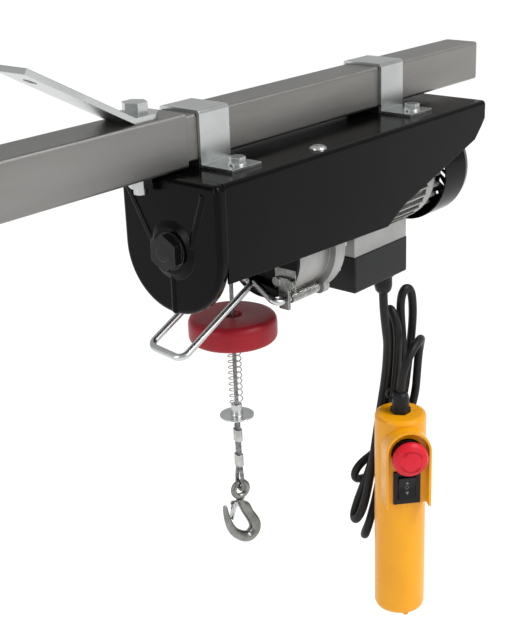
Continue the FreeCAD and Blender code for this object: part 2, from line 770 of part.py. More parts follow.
def make_fan():
    """A moulded fan with straight blades on the motor shaft."""
    start = 343.0
    hub = turned("FanHub", [(start, size("motor_shaft_radius") + 0.02), (start, 42), (start + 2, 42),
                            (start + 3, 14), (start + 12, 13),
                            (start + 12, size("motor_shaft_radius") + 0.02)])
    blades = []
    for number in range(9):
        blade = block((start + 1.5, -1.0, 12.5), (start + 18, 1.0, 43), "FanBlade%d" % number)
        blade.Placement = Placement(Vector(), Rotation(Vector(1, 0, 0), 40 * number)).multiply(
            blade.Placement)
        blades.append(blade)
    node(fuse([hub] + blades, "Fan"), "fan", shift=DRUM_LINE)


def make_fan_cover():
    """A drawn cowl with a rounded rear edge and a slotted grille."""
    start = size("cowl_start")
    end = size("cowl_end")
    reach = size("cowl_radius")
    body = turned("CowlShell", [(start, reach - 1.6), (start, reach), (end - 12, reach),
                                (end - 4.5, reach - 2.6), (end - 1, reach - 6.5), (end, reach - 12),
                                (end, 0), (end - 1.6, 0), (end - 1.6, reach - 13),
                                (end - 5.5, reach - 4.8), (end - 12, reach - 1.6)])
    slots = []
    for number in range(20):
        slot = block((end - 4, -1.8, 16), (end + 2, 1.8, 37), "CowlSlot%d" % number)
        slot.Placement = Placement(Vector(), Rotation(Vector(1, 0, 0), 18 * number)).multiply(
            slot.Placement)
        slots.append(slot)
    node(cut(body, fuse(slots, "CowlSlots"), "FanCover"), "fan_cover",
         shift=DRUM_LINE - Vector(0, 0, size("cowl_drop")))


# ---- terminal box ------------------------------------------------------------------------

def make_terminal_box():
    start = size("box_start")
    end = size("box_end")
    front = size("box_front")
    back = size("box_back")
    seam = size("box_seam")
    bottom = size("box_bottom")
    base = block((start + 1, front + 1, seam + 0.2), (end - 1, back - 1, -99.0), "BaseBlock")
    core = block((start + 5, front + 5, seam - 1), (end - 5, back - 5, -104.0), "BaseCore")
    motor = rod((start - 10, size("drum_axis_y"), size("drum_axis_z")), ALONG_X, 120,
                size("fin_radius") + 0.15, "BaseMotor")
    node(cut(cut(base, core, "BaseShell"), motor, "TerminalBase"), "terminal_base")

    lid = new_body("terminal_lid")
    sketch = sketch_on(lid, "XY", bottom)
    outline(sketch, [("box_start", "box_front"), ("box_end", "box_front"),
                     ("box_end", "box_back"), ("box_start", "box_back")])
    solid = pad(lid, sketch, seam - bottom)
    round_edges(lid, solid, 2.0, lambda edge: runs_along(edge, "z") or
                all(abs(v.Z - bottom) < 0.01 for v in edge.Vertexes))
    hollow = sketch_on(lid, "XY", seam)
    outline(hollow, [(start + 2.6, front + 2.6), (end - 2.6, front + 2.6),
                     (end - 2.6, back - 2.6), (start + 2.6, back - 2.6)])
    pocket(lid, hollow, seam - bottom - 2.6)
    ways = sketch_on(lid, "XY", seam)
    ring(ways, (size("gland_x"), size("gland_y")), 6.6)
    pocket(lid, ways, 60)
    inlet = sketch_on(lid, "XZ", -(back + 5))
    ring(inlet, (size("box_start") + 24, -142), 6.6)
    pocket(lid, inlet, 10, backwards=True)
    node(lid, "terminal_lid")

    capacitor = turned("capacitor", [(0, 0), (0, 12.0), (1, 13.0), (44, 13.0), (45, 12.0), (45, 0)])
    node(capacitor, "capacitor", shift=Vector(start + 8, -26, -141.5))


def gland(name, hole):
    """A cable gland about Z: hexagon body, domed nut and a through hole, mouth at Z = 0."""
    dome = turned(name + "Dome", [(hole, 0), (6.2, 0), (8.2, 2.5), (9.3, 7.0), (9.3, 14.0), (9.3, 17.5),
                                  (hole, 17.5)], "V_Axis")
    flats = hexagon((0, 0, 17.5), UPRIGHT, 19.0, 5.5, name + "Flats")
    thread = rod((0, 0, 23.0), UPRIGHT, 7.0, 6.4, name + "Thread")
    way = rod((0, 0, -1), UPRIGHT, 40, hole, name + "Way")
    return cut(fuse([dome, flats, thread], name + "Solid"), way, name)


def make_glands():
    hole = size("cable_radius") + 0.02
    below = size("box_bottom") - 23.0 - 0.02
    node(gland("CableGland", hole), "cable_gland",
         shift=Vector(size("gland_x"), size("gland_y"), below))
    inlet = gland("MainsGland", 4.0)
    node(inlet, "mains_gland", turn=Rotation(Vector(1, 0, 0), 90),
         shift=Vector(size("box_start") + 24, size("box_back") + 23.02, -142))


# ---- limit lever -------------------------------------------------------------------------

def wire_form(points, radius, bend, name):
    """A round bar bent along a route of points with equal bends."""
    edges = []
    start = points[0]
    for before, corner, after in zip(points, points[1:], points[2:]):
        inward = (before - corner).normalize()
        outward = (after - corner).normalize()
        half_turn = (math.pi - inward.getAngle(outward)) / 2
        trim = bend * math.tan(half_turn)
        arc_start = corner + inward * trim
        arc_end = corner + outward * trim
        bisector = (inward + outward).normalize()
        centre = corner + bisector * (bend / math.cos(half_turn))
        middle = centre - bisector * bend
        edges.append(Part.LineSegment(start, arc_start).toShape())
        edges.append(Part.Arc(arc_start, middle, arc_end).toShape())
        start = arc_end
    edges.append(Part.LineSegment(start, points[-1]).toShape())
    spine = Part.Wire(edges)
    direction = points[1] - points[0]
    profile = Part.Wire(Part.makeCircle(radius, points[0], direction))
    return spine.makePipeShell([profile], True, True)


def make_limit_lever():
    """The lever that the weight lifts: a shaft along X, then a loop around the rope."""
    wire = size("lever_wire")
    y = size("lever_axis_y")
    z = size("lever_axis_z")
    near_top = Vector(107, -16, -122.5)
    far_top = Vector(107, 24, -118.5)
    near_end = Vector(9, -16, -166.5)
    far_end = Vector(9, 24, -162.5)
    middle = (near_end + far_end) * 0.5
    loop = [middle, near_end, near_top, far_top, far_end, middle]
    ring_shape = wire_form(loop, wire, 8.0, "LeverLoop")
    stem = wire_form([Vector(168.6, y, z), Vector(97, y, z), near_top + Vector(0, -1, 0)], wire,
                     7.0, "LeverStem")
    node(formed(ring_shape.fuse(stem), "LimitLever"), "limit_lever")


def make_lever_bracket():
    """A bent tab on the side plate that carries the lever's shaft, with two rivet bosses."""
    y = size("lever_axis_y")
    z = size("lever_axis_z")
    foot = block((111.0, y - 12, z + 9.5), (111.55, y + 12, z + 30), "BracketFoot")
    tab = block((108.0, y - 5.5, z - 8), (111.0, y + 5.5, z + 22), "BracketTab")
    bosses = [rod((107.2, y + side * 8, z + 17), ALONG_X, 4.3, 4.5, "BracketBoss")
              for side in (-1, 1)]
    way = rod((100, y, z), ALONG_X, 20, size("lever_wire") + 0.05, "BracketWay")
    solid = fuse([foot, tab] + bosses, "BracketSolid")
    node(cut(solid, way, "LeverBracket"), "lever_bracket")


def helix_tube(radius, pitch, height, wire, base, along, name):
    """A coil spring."""
    path = Part.makeHelix(pitch, height, radius)
    profile = Part.Wire(Part.makeCircle(wire, Vector(radius, 0, 0), Vector(0, 1, 0)))
    coil = Part.Wire(path).makePipeShell([profile], True, True)
    coil.Placement = Placement(Vector(*base), along)
    return formed(coil, name)


def make_lever_spring():
    sleeve = turned("SpringSleeve", [(0, 3.45), (0, 5.0), (40.0, 5.0), (40.0, 3.45)])
    node(sleeve, "lever_spring", shift=Vector(114.0 + 2.0, size("lever_axis_y"), size("lever_axis_z")))


def make_limit_switch():
    """A snap switch in the terminal box, worked by a plunger."""
    case = block((274, -25, -119), (296, -5, -106), "SwitchCase")
    plunger = rod((281, -15, -106.2), UPRIGHT, 2.4, 1.6, "SwitchPlunger")
    node(fuse([case, plunger], "LimitSwitch"), "limit_switch", shift=Vector(0, 0, -14.5))


# ---- load line ---------------------------------------------------------------------------

def make_weight_disc():
    reach = size("disc_radius")
    top = size("disc_top")
    bottom = size("disc_bottom")
    hole = size("rope_radius") + 0.7
    body = turned("weight_disc", [(hole, bottom), (reach - 7, bottom), (reach - 2.2, bottom + 2),
                                  (reach, bottom + 6.5), (reach, top - 7), (reach - 2, top - 2.4),
                                  (reach - 7, top), (9.5, top), (7.5, top - 4), (hole, top - 4)],
                  "V_Axis")
    node(body, "weight_disc", shift=Vector(size("rope_x"), size("rope_y"), 0))


def make_disc_spring():
    """The spring that lets the weight be pushed down the rope."""
    bottom = size("hat_top") + 0.6
    top = size("disc_bottom") - 0.6
    height = top - bottom
    coil = helix_tube(size("spring_radius"), height / 11.0, height, 0.55,
                      (size("rope_x"), size("rope_y"), bottom), UPRIGHT, "SpringCoil")
    node(coil, "disc_spring")


def make_top_hat():
    """A flanged sleeve under the spring."""
    top = size("hat_top")
    flange = size("hat_flange")
    hole = size("rope_radius") + 0.1
    body = turned("top_hat", [(hole, flange - 1.2), ("hat_radius", flange - 1.2), ("hat_radius", flange),
                              (6.0, flange), (5.6, flange + 1.5), (5.2, top), (hole, top)], "V_Axis")
    node(body, "top_hat", shift=Vector(size("rope_x"), size("rope_y"), 0))


def oval_tube(centre, half_long, half_short, height, name):
    """A pressed ferrule: an oval prism, longer along the rope loop's plane."""
    upper = Part.makeCylinder(half_short, height, Vector(half_long - half_short, 0, 0))
    lower = Part.makeCylinder(half_short, height, Vector(half_short - half_long, 0, 0))
    middle = Part.makeBox(2 * (half_long - half_short), 2 * half_short, height,
                          Vector(half_short - half_long, -half_short, 0))
    shape = upper.fuse([lower, middle]).removeSplitter()
    shape.Placement = Placement(centre, Rotation(Vector(0, 0, 1), size("hook_turn") + 90))
    return shape


FERRULES = ((-287.0, 12.0), (-314.0, 12.0))


def rope_line_shape():
    """The rope below the drum: a straight run, then a loop through the hook's eye."""
    x = size("rope_x")
    y = size("rope_y")
    radius = size("rope_radius")
    turn = Rotation(Vector(0, 0, 1), size("hook_turn") + 90)
    origin = Vector(x, y, 0)

    def at(side, z):
        return origin + turn.multVec(Vector(side, 0, 0)) + Vector(0, 0, z)

    bottom = size("eye_z") + 2.3
    leg = radius + 0.05
    wide = 5.3
    straight = Part.makeCylinder(radius, 118.0, Vector(x, y, -270.0))
    route = [at(-leg, -268), at(-leg, -317), at(-wide, bottom + 12), at(-wide, bottom),
             at(wide, bottom), at(wide, bottom + 12), at(leg, -317), at(leg, -268)]
    loop = wire_form(route, radius, 5.2, "RopeLoop")
    return straight, loop


def make_ropes():
    x = size("rope_x")
    y = size("rope_y")
    upper = rod((x, y, -152.0), UPRIGHT, -152.0 * -1 + size("drum_axis_z"), size("rope_radius"),
                "RopeUpper")
    node(upper, "rope_upper")
    straight, loop = rope_line_shape()
    rope = straight.fuse(loop)
    node(formed(rope, "RopeLower"), "rope_lower")
    sleeves = []
    for number, (low, height) in enumerate(FERRULES):
        sleeve = oval_tube(Vector(x, y, low), 5.4, 3.4, height, "Ferrule%d" % number).cut(rope)
        sleeves.append(formed(sleeve, "Ferrule%d" % number))
    node(group(sleeves, "Ferrules"), "ferrules")


# The hook's centre line from neck to tip, from the eye's centre: (x, z, half thickness).
HOOK_LINE = ((0, -9.5, 4.4), (2.5, -18, 5.0), (8, -29, 5.4), (13, -38.5, 5.9), (14.8, -46.5, 6.1),
             (12, -52.5, 6.1), (6, -55.2, 5.8), (-1, -52.4, 5.4), (-8, -46.5, 4.8),
             (-13, -38.5, 4.1), (-15.8, -30, 3.5), (-17.4, -22, 2.9), (-18.2, -15, 2.1))
LATCH_PIVOT = Vector(-7.7, 0, -14.7)


def make_hook():
    """An eye hook: a ring, and a bowl that swells to its middle and tapers to its tip."""
    eye = Part.makeTorus(7.6, 2.9, Vector(), Vector(0, 1, 0))
    points = [Vector(x, 0, z) for x, z, half in HOOK_LINE]
    sections = []
    for number, (x, z, half) in enumerate(HOOK_LINE):
        before = points[max(number - 1, 0)]
        after = points[min(number + 1, len(points) - 1)]
        sections.append(Part.Wire(Part.makeCircle(half, points[number], after - before)))
    bowl = Part.makeLoft(sections, True, False)
    tip = Part.makeSphere(2.1, points[-1])
    lug = Part.makeCylinder(2.6, 4.0, LATCH_PIVOT - Vector(0, 2, 0), Vector(0, 1, 0))
    web = Part.makeBox(8.0, 4.0, 4.4, LATCH_PIVOT + Vector(0, -2, -1.8))
    way = Part.makeCylinder(1.25, 12.0, LATCH_PIVOT - Vector(0, 6, 0), Vector(0, 1, 0))
    shape = eye.fuse([bowl, tip, lug, web]).cut(way)
    turn = Rotation(Vector(0, 0, 1), size("hook_turn"))
    place = Vector(size("rope_x"), size("rope_y"), size("eye_z"))
    node(formed(shape, "Hook"), "hook", turn=turn, shift=place)

    pin = Part.makeCylinder(1.2, 8.6, LATCH_PIVOT - Vector(0, 4.3, 0), Vector(0, 1, 0))
    node(formed(pin, "LatchPin"), "latch_pin", turn=turn, shift=place)
    make_latch(turn, place)


def make_latch(turn, place):
    """A sheet latch that straddles the hook's lug and closes against the inside of the tip."""
    lean = Rotation(Vector(0, 1, 0), 14.0)
    blade = Part.makeBox(1.2, 6.8, 12.2, Vector(-0.6, -3.4, -15.6))
    cheeks = []
    for side in (2.3, -3.4):
        cheek = Part.makeCylinder(2.7, 1.1, Vector(0, side, 0), Vector(0, 1, 0))
        strip = Part.makeBox(2.4, 1.1, 6.5, Vector(-1.2, side, -6.5))
        cheeks += [cheek, strip]
    way = Part.makeCylinder(1.25, 12.0, Vector(0, -6, 0), Vector(0, 1, 0))
    latch = blade.fuse(cheeks).cut(way)
    latch.Placement = Placement(LATCH_PIVOT, lean)
    node(formed(latch, "Latch"), "latch", turn=turn, shift=place)


# ---- pendant control ---------------------------------------------------------------------

PENDANT_TURN = Rotation(Vector(0, 0, 1), size("pendant_turn"))
PENDANT_PLACE = Vector(size("pendant_x"), size("pendant_y"), 0)
STOP_Z = -353.0
STOP_SIDE = 0.0
ROCKER_Z = -393.5
ROCKER_SIDE = 0.0
FACE_Y = -29.0


def pendant_node(thing, label):
    return node(thing, label, turn=PENDANT_TURN, shift=PENDANT_PLACE)


def make_pendant_shells():
    """A round grip split lengthwise; the front half carries a hooded flat for the controls."""
    top = size("pendant_top")
    bottom = size("pendant_bottom")
    reach = size("pendant_radius")
    wall = 2.4
    profile = [(0, bottom), (reach - 4, bottom), (reach - 1.2, bottom + 1.6), (reach, bottom + 5),
               (reach, top - 4), (reach - 1.2, top - 1.2), (reach - 4, top), (0, top)]
    grip = turned("Grip", profile, "V_Axis")
    core = rod((0, 0, bottom + 3), UPRIGHT, top - bottom - 6, reach - wall, "GripCore")
    way = rod((0, 0, top - 20), UPRIGHT, 40, 6.45, "GripWay")
    halves = []
    for name, low_y, high_y in (("Front", -60, 0.0), ("Rear", 0.25, 60)):
        keep = block((-60, low_y, bottom - 20), (60, high_y, top + 20), name + "Keep")
        half = DOC.addObject("Part::Common", name + "Half")
        half.Base = grip
        half.Tool = keep
        halves.append(half)
    front, rear = halves

    hood = new_body("Hood")
    sketch = sketch_on(hood, "XZ", 8.0)
    hood_half = 24.5
    arch = -349.0
    low = -414.0
    arched(sketch, [(-hood_half, arch), (-hood_half, low), (hood_half, low), (hood_half, arch)],
           (0, arch + hood_half))
    pad(hood, sketch, 31.0)
    recess = sketch_on(hood, "XZ", 60.0)
    inner = hood_half - 2.6
    arched(recess, [(-inner, arch), (-inner, low - 5), (inner, low - 5), (inner, arch)],
           (0, arch + inner))
    pocket(hood, recess, 60.0 + FACE_Y)

    hood_core = block((-22, FACE_Y + wall, low + 3), (22, -4, arch + 3), "HoodCore")
    stop_way = rod((STOP_SIDE, -60, STOP_Z), ALONG_Y, 50, 11.1, "StopWay")
    rocker_way = block((ROCKER_SIDE - 11.3, -60, ROCKER_Z - 15.8),
                       (ROCKER_SIDE + 11.3, -15, ROCKER_Z + 15.8), "RockerWay")
    nub = turned("Nub", [(0, bottom - 6), (3.0, bottom - 6), (3.8, bottom - 4.5), (3.8, bottom + 1),
                         (0, bottom + 1)], "V_Axis")
    nub.Placement = Placement(Vector(3, -17, 0), Rotation())
    shell = cut(fuse([front, hood, nub], "FrontSolid"), fuse([core, hood_core, way], "FrontHollow"),
                "FrontShell")
    pendant_node(cut(shell, fuse([stop_way, rocker_way], "FrontWays"), "PendantFront"),
                 "pendant_front")
    pendant_node(cut(rear, fuse([core, way], "RearHollow"), "PendantRear"), "pendant_rear")


def make_stop_button():
    """A mushroom button on a stem, in a round collar."""
    place = Vector(STOP_SIDE, 0, STOP_Z)
    collar = turned("StopCollar", [(0, 11.0), (0, 17.0), (3.2, 15.5), (3.2, 8.6), (-16, 8.6),
                                   (-16, 11.0)])
    collar.Placement = Placement(place + Vector(0, FACE_Y - 0.05, 0), Rotation(Vector(0, 0, 1), -90))
    pendant_node(group([collar], "StopCollarNode"), "estop_collar")
    stem = turned("StopStem", [(-14, 0), (-14, 8.3), (9.0, 8.3), (9.0, 5.0), (15.0, 5.0), (15.0, 0)])
    stem.Placement = Placement(place + Vector(0, FACE_Y, 0), Rotation(Vector(0, 0, 1), -90))
    pendant_node(group([stem], "StopStemNode"), "estop_stem")
    button = turned("StopButton", [(9.3, 5.05), (9.3, 13.0), (11.0, 18.0), (13.5, 19.2), (17.0, 19.0),
                                   (20.5, 16.8), (22.4, 12.0), (23.2, 5.5), (23.4, 0), (15.2, 0),
                                   (15.2, 5.05)])
    button.Placement = Placement(place + Vector(0, FACE_Y, 0), Rotation(Vector(0, 0, 1), -90))
    pendant_node(group([button], "StopButtonNode"), "estop_button")


def make_rocker():
    """A hold-to-run rocker in a snap-in frame."""
    outer = block((ROCKER_SIDE - 14.5, FACE_Y - 2.2, ROCKER_Z - 19.3),
                  (ROCKER_SIDE + 14.5, FACE_Y, ROCKER_Z + 19.3), "RockerRim")
    tub = block((ROCKER_SIDE - 11.2, FACE_Y, ROCKER_Z - 15.7),
                (ROCKER_SIDE + 11.2, FACE_Y + 13.5, ROCKER_Z + 15.7), "RockerTub")
    space = block((ROCKER_SIDE - 9.6, FACE_Y - 5, ROCKER_Z - 14.0),
                  (ROCKER_SIDE + 9.6, FACE_Y + 12.0, ROCKER_Z + 14.0), "RockerSpace")
    pendant_node(cut(fuse([outer, tub], "RockerFrameSolid"), space, "RockerFrame"), "rocker_frame")
    key = new_body("RockerKey")
    sketch = sketch_on(key, "YZ", ROCKER_SIDE - 9.2)
    y = FACE_Y
    outline(sketch, [(y - 1.6, ROCKER_Z), (y - 4.6, ROCKER_Z - 12.4), (y + 1.0, ROCKER_Z - 12.9),
                     (y + 6.0, ROCKER_Z), (y + 1.0, ROCKER_Z + 12.9), (y - 4.6, ROCKER_Z + 12.4)])
    pad(key, sketch, 18.4)
    pendant_node(group([key], "RockerNode"), "rocker")


def make_pendant_top():
    hole = size("cable_radius") + 0.02
    upper = gland("PendantGland", hole)
    node(upper, "pendant_gland", turn=Rotation(Vector(1, 0, 0), 180),
         shift=PENDANT_PLACE + Vector(0, 0, size("pendant_top") + 23.02))


# ---- pendant cable -----------------------------------------------------------------------

# The cable's free ends as hand-set points: from the gland down into the hank, and out of the
# hank, up, over and down into the pendant.
DROP_ROUTE = ((290, -32, -183.4), (290.5, -32, -196), (294, -31, -213), (300.5, -28.5, -232),
              (309, -24.5, -250))
TAIL_ROUTE = ((353, -31, -322), (350, -36, -297), (343, -42, -270), (332, -47, -252),
              (316, -50, -248), (303.5, -50, -261), (298.5, -49, -278), (298, -49, -295))


def route_tube(points, radius, name):
    """Straight runs joined by tangent arcs, each as large as its two runs allow."""
    points = [Vector(*point) for point in points]
    edges = []
    start = points[0]
    radii = []
    for before, corner, after in zip(points, points[1:], points[2:]):
        inward = before - corner
        outward = after - corner
        shorter = min(inward.Length, outward.Length)
        inward.normalize()
        outward.normalize()
        half_turn = (math.pi - inward.getAngle(outward)) / 2
        trim = 0.45 * shorter
        bend = trim / math.tan(half_turn)
        radii.append(round(bend, 1))
        bisector = (inward + outward).normalize()
        centre = corner + bisector * (bend / math.cos(half_turn))
        arc_start = corner + inward * trim
        arc_end = corner + outward * trim
        edges.append(Part.LineSegment(start, arc_start).toShape())
        edges.append(Part.Arc(arc_start, centre - bisector * bend, arc_end).toShape())
        start = arc_end
    edges.append(Part.LineSegment(start, points[-1]).toShape())
    spine = Part.Wire(edges)
    profile = Part.Wire(Part.makeCircle(radius, points[0], points[1] - points[0]))
    tube = spine.makePipeShell([profile], True, True)
    expected = math.pi * radius ** 2 * spine.Length
    print("%s: length %.1f, radii %s, volume / section x length %.4f"
          % (name, spine.Length, radii, tube.Volume / expected))
    return tube


# The hank from top to bottom: height, centre x and y, half length, half width, turn in degrees.
HANK_SECTIONS = ((-185, 333, -30, 9, 5, -24), (-200, 333, -30, 17, 8, -24),
                 (-230, 329, -27, 22, 10, -24), (-285, 332, -24, 23, 12, -24),
                 (-330, 336, -18, 24, 10, -20), (-375, 330, -10, 25, 10, -10),
                 (-410, 318, 3, 24, 15, -10), (-440, 307, -1, 24, 12, -10),
                 (-468, 302, 0, 20, 11, -10), (-489, 303, -2, 10, 6, -10))


def make_cable():
    radius = size("cable_radius")
    node(formed(route_tube(DROP_ROUTE, radius, "cable_drop"), "CableDrop"), "cable_drop")
    node(formed(route_tube(TAIL_ROUTE, radius, "cable_tail"), "CableTail"), "cable_tail")
    wires = []
    for z, x, y, half_long, half_wide, turn in HANK_SECTIONS:
        oval = Part.Ellipse(Vector(0, 0, 0), half_long, half_wide).toShape()
        oval.Placement = Placement(Vector(x, y, z), Rotation(Vector(0, 0, 1), turn))
        wires.append(Part.Wire(oval))
    node(formed(Part.makeLoft(wires, True, False), "CableHank"), "cable_hank")


# ---- assembly ----------------------------------------------------------------------------

def check_and_export():
    DOC.recompute()
    for thing in DOC.Objects:
        bad = [state for state in thing.State if state in ("Invalid", "Error")]
        if bad:
            raise RuntimeError("%s is %s" % (thing.Name, bad))
    os.makedirs("parts", exist_ok=True)
    for thing in NODES:
        shape = thing.Shape
        if shape.isNull() or not shape.isValid() or not shape.Solids:
            raise RuntimeError("no valid solid in " + thing.Label)
        shape.exportStep("parts/%s.step" % thing.Label)
        print("%-16s solids %d  volume %9.0f" % (thing.Label, len(shape.Solids), shape.Volume))
    print(len(NODES), "nodes")


make_arm()
make_brace()
make_brace_fixing()
CLAMP_PLACES = make_clamps()
make_frame_shell(CLAMP_PLACES)
make_plate_rivet()
make_end_plate()
make_hub_nut()
make_drum()
make_bearings()
make_side_plate()
make_gear_housing()
make_gear_cover()
make_housing_screws()
make_gear_train()
make_motor_shaft()
make_motor_body()
make_end_bell()
make_fan()
make_fan_cover()
make_terminal_box()
make_glands()
make_limit_lever()
make_lever_bracket()
make_lever_spring()
make_limit_switch()
make_weight_disc()
make_disc_spring()
make_top_hat()
make_ropes()
make_hook()
make_pendant_shells()
make_stop_button()
make_rocker()
make_pendant_top()
make_cable()
check_and_export()
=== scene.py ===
# %% [markdown]
# # A small electric wire-rope hoist
#
# The real thing hangs under a square steel arm: a black folded frame holds a rope drum, a gearbox
# and a finned motor, and a yellow pendant control hangs from it on a rubber cable. The metal
# skeleton comes ready made as the frame. This lesson dresses it: camera and cords first, then the
# finishes, then the pieces that need mesh work of their own.

# %% Load the frame
import json
import math

import bmesh
import bpy
from mathutils import Matrix, Vector


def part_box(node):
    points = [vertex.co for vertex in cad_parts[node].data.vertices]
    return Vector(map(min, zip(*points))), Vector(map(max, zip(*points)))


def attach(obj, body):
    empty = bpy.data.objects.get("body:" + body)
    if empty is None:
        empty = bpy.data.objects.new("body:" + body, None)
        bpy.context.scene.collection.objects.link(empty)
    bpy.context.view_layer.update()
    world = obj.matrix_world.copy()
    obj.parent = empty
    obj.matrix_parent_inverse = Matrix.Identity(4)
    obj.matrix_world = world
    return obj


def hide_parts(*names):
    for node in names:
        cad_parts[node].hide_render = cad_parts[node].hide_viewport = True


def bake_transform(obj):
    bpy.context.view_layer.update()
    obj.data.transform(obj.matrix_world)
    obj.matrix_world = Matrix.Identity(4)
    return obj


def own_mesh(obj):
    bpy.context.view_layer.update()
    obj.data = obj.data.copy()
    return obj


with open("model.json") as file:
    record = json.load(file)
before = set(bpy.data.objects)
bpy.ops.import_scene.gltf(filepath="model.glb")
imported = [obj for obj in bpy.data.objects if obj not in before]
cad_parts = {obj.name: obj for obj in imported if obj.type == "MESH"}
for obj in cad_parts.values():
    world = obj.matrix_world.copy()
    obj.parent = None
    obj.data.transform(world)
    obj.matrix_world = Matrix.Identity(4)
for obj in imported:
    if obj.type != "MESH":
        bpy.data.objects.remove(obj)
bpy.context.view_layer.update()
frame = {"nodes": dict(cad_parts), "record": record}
HOIST = Vector((0.180, 0.0, -0.026))      # the end plate's outer face, on the top plate

# %% [markdown]
# ## Camera
#
# The hoist is seen from its front left, a little above the arm, through a long lens. A long lens
# keeps the arm's parallel edges nearly parallel. The camera is an ordinary object with a lens, a
# place and a turn; nothing else in the scene depends on it.

# %% Place the camera
camera_data = bpy.data.cameras.new("camera")
camera_data.lens = 70.2
camera_data.sensor_width = 36.0
camera_data.clip_start = 0.05
camera_data.clip_end = 100.0
camera = bpy.data.objects.new("camera", camera_data)
camera.location = (-0.5096, -0.7259, 0.2266)
camera.rotation_euler = (math.radians(69.058), math.radians(1.931), math.radians(-49.467))
bpy.context.scene.collection.objects.link(camera)
bpy.context.scene.camera = camera
print("camera at", tuple(round(c, 3) for c in camera.location))

# %% [markdown]
# ## The pendant's rubber cable
#
# A round rubber cable leaves the gland under the terminal box, runs down and up three times in a
# loose hank, arches over and enters the top of the pendant. It could be a swept mesh, but a curve
# with a round bevel is simpler: one open NURBS spline whose control points are the route. Order 3
# keeps the line close to its points without sharp corners.

# %% Draw the cable
CABLE_DIAMETER = 0.0092
CABLE_ROUTE = (
    (0.290, -0.032, -0.1834), (0.2905, -0.032, -0.196), (0.294, -0.031, -0.213),
    (0.3005, -0.0285, -0.232), (0.309, -0.0245, -0.250), (0.316, -0.017, -0.290),
    (0.318, -0.009, -0.330), (0.310, -0.007, -0.375), (0.301, -0.008, -0.405),
    (0.292, -0.008, -0.432), (0.286, -0.006, -0.450), (0.284, 0.001, -0.463),
    (0.291, 0.010, -0.464), (0.298, 0.011, -0.452), (0.303, 0.007, -0.434),
    (0.309, 0.000, -0.408), (0.322, -0.003, -0.375), (0.331, -0.009, -0.330),
    (0.330, -0.016, -0.285), (0.328, -0.017, -0.258), (0.326, -0.016, -0.235),
    (0.320, -0.018, -0.215), (0.313, -0.026, -0.210), (0.312, -0.034, -0.224),
    (0.317, -0.033, -0.245), (0.324, -0.026, -0.285), (0.326, -0.020, -0.330),
    (0.319, -0.014, -0.375), (0.313, -0.012, -0.412), (0.305, -0.010, -0.445),
    (0.297, -0.008, -0.470), (0.295, -0.004, -0.485), (0.302, 0.003, -0.490),
    (0.312, 0.003, -0.479), (0.316, -0.001, -0.456), (0.321, -0.006, -0.425),
    (0.331, -0.011, -0.375), (0.339, -0.018, -0.330), (0.336, -0.026, -0.285),
    (0.331, -0.028, -0.245), (0.326, -0.029, -0.218), (0.325, -0.030, -0.201),
    (0.330, -0.031, -0.191), (0.338, -0.033, -0.193), (0.343, -0.033, -0.208),
    (0.345, -0.032, -0.235), (0.347, -0.025, -0.285), (0.351, -0.017, -0.330),
    (0.343, -0.006, -0.372), (0.329, 0.006, -0.396), (0.313, 0.014, -0.405),
    (0.303, 0.017, -0.415), (0.308, 0.019, -0.427), (0.323, 0.014, -0.429),
    (0.338, 0.004, -0.418), (0.347, -0.008, -0.395), (0.351, -0.021, -0.360),
    (0.356, -0.029, -0.325), (0.356, -0.031, -0.297), (0.354, -0.034, -0.273),
    (0.350, -0.039, -0.257), (0.339, -0.047, -0.247), (0.325, -0.052, -0.246),
    (0.311, -0.054, -0.251), (0.302, -0.053, -0.263), (0.2985, -0.050, -0.278),
    (0.298, -0.049, -0.295),
)


def nurbs_line(name, points, radius):
    """An open NURBS spline of order 3 that starts and ends on its first and last points."""
    curve = bpy.data.curves.new(name, "CURVE")
    curve.dimensions = "3D"
    curve.bevel_depth = 1.0 if radius else 0.0     # each point's own radius sets the thickness
    curve.bevel_resolution = 6
    curve.use_fill_caps = True
    spline = curve.splines.new("NURBS")
    spline.points.add(len(points) - 1)
    for control, point in zip(spline.points, points):
        control.co = (*point, 1.0)
        control.radius = radius
    spline.order_u = 3
    spline.use_endpoint_u = True
    spline.resolution_u = 8
    line = bpy.data.objects.new(name, curve)
    bpy.context.scene.collection.objects.link(line)
    return line


def sampled(points):
    """Points along the smooth spline that follows a route."""
    line = nurbs_line("route", points, 0.0)
    mesh = bpy.data.meshes.new_from_object(line)
    found = [vertex.co.copy() for vertex in mesh.vertices]
    bpy.data.objects.remove(line)
    bpy.data.meshes.remove(mesh)
    return found


def length_of(points):
    return sum((b - a).length for a, b in zip(points, points[1:]))


cable_points = [HOIST + Vector(point) for point in CABLE_ROUTE]
cable_length = length_of(sampled(cable_points))
cable = nurbs_line("pendant_cable", cable_points, CABLE_DIAMETER / 2)
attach(cable, "pendant")
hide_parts("cable_drop", "cable_hank", "cable_tail")
print("cable %.2f m long" % cable_length)

# %% [markdown]
# ## The wire rope
#
# Six strands are laid round a core, so the rope's outline is a flower of six lobes that turns as
# it goes. Modelling each wire would cost too much, and a smooth rod would look like a pipe. The
# way chosen here sweeps the lobed outline along the rope's line and turns it a little at each
# step. The rope leaves the drum, passes the weight and ends in a loop through the hook's eye.

# %% Sweep a laid rope
ROPE_RADIUS = 0.002
LOBE_VALLEY = 0.80             # how far out the grooves between strands lie, as a share
LAY_TURN = 170.0               # radians that the strands turn in a metre
ROPE_TOP = HOIST + Vector((0.098, 0.004, -0.062))
HOOK_TURN = math.radians(-18.0)


def new_piece(name, mesh, body=None, smooth=True):
    """Put a mesh in the scene, and say what it rides on."""
    piece = bpy.data.objects.new(name, mesh)
    bpy.context.scene.collection.objects.link(piece)
    for face in mesh.polygons:
        face.use_smooth = smooth
    if body:
        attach(piece, body)
    return piece


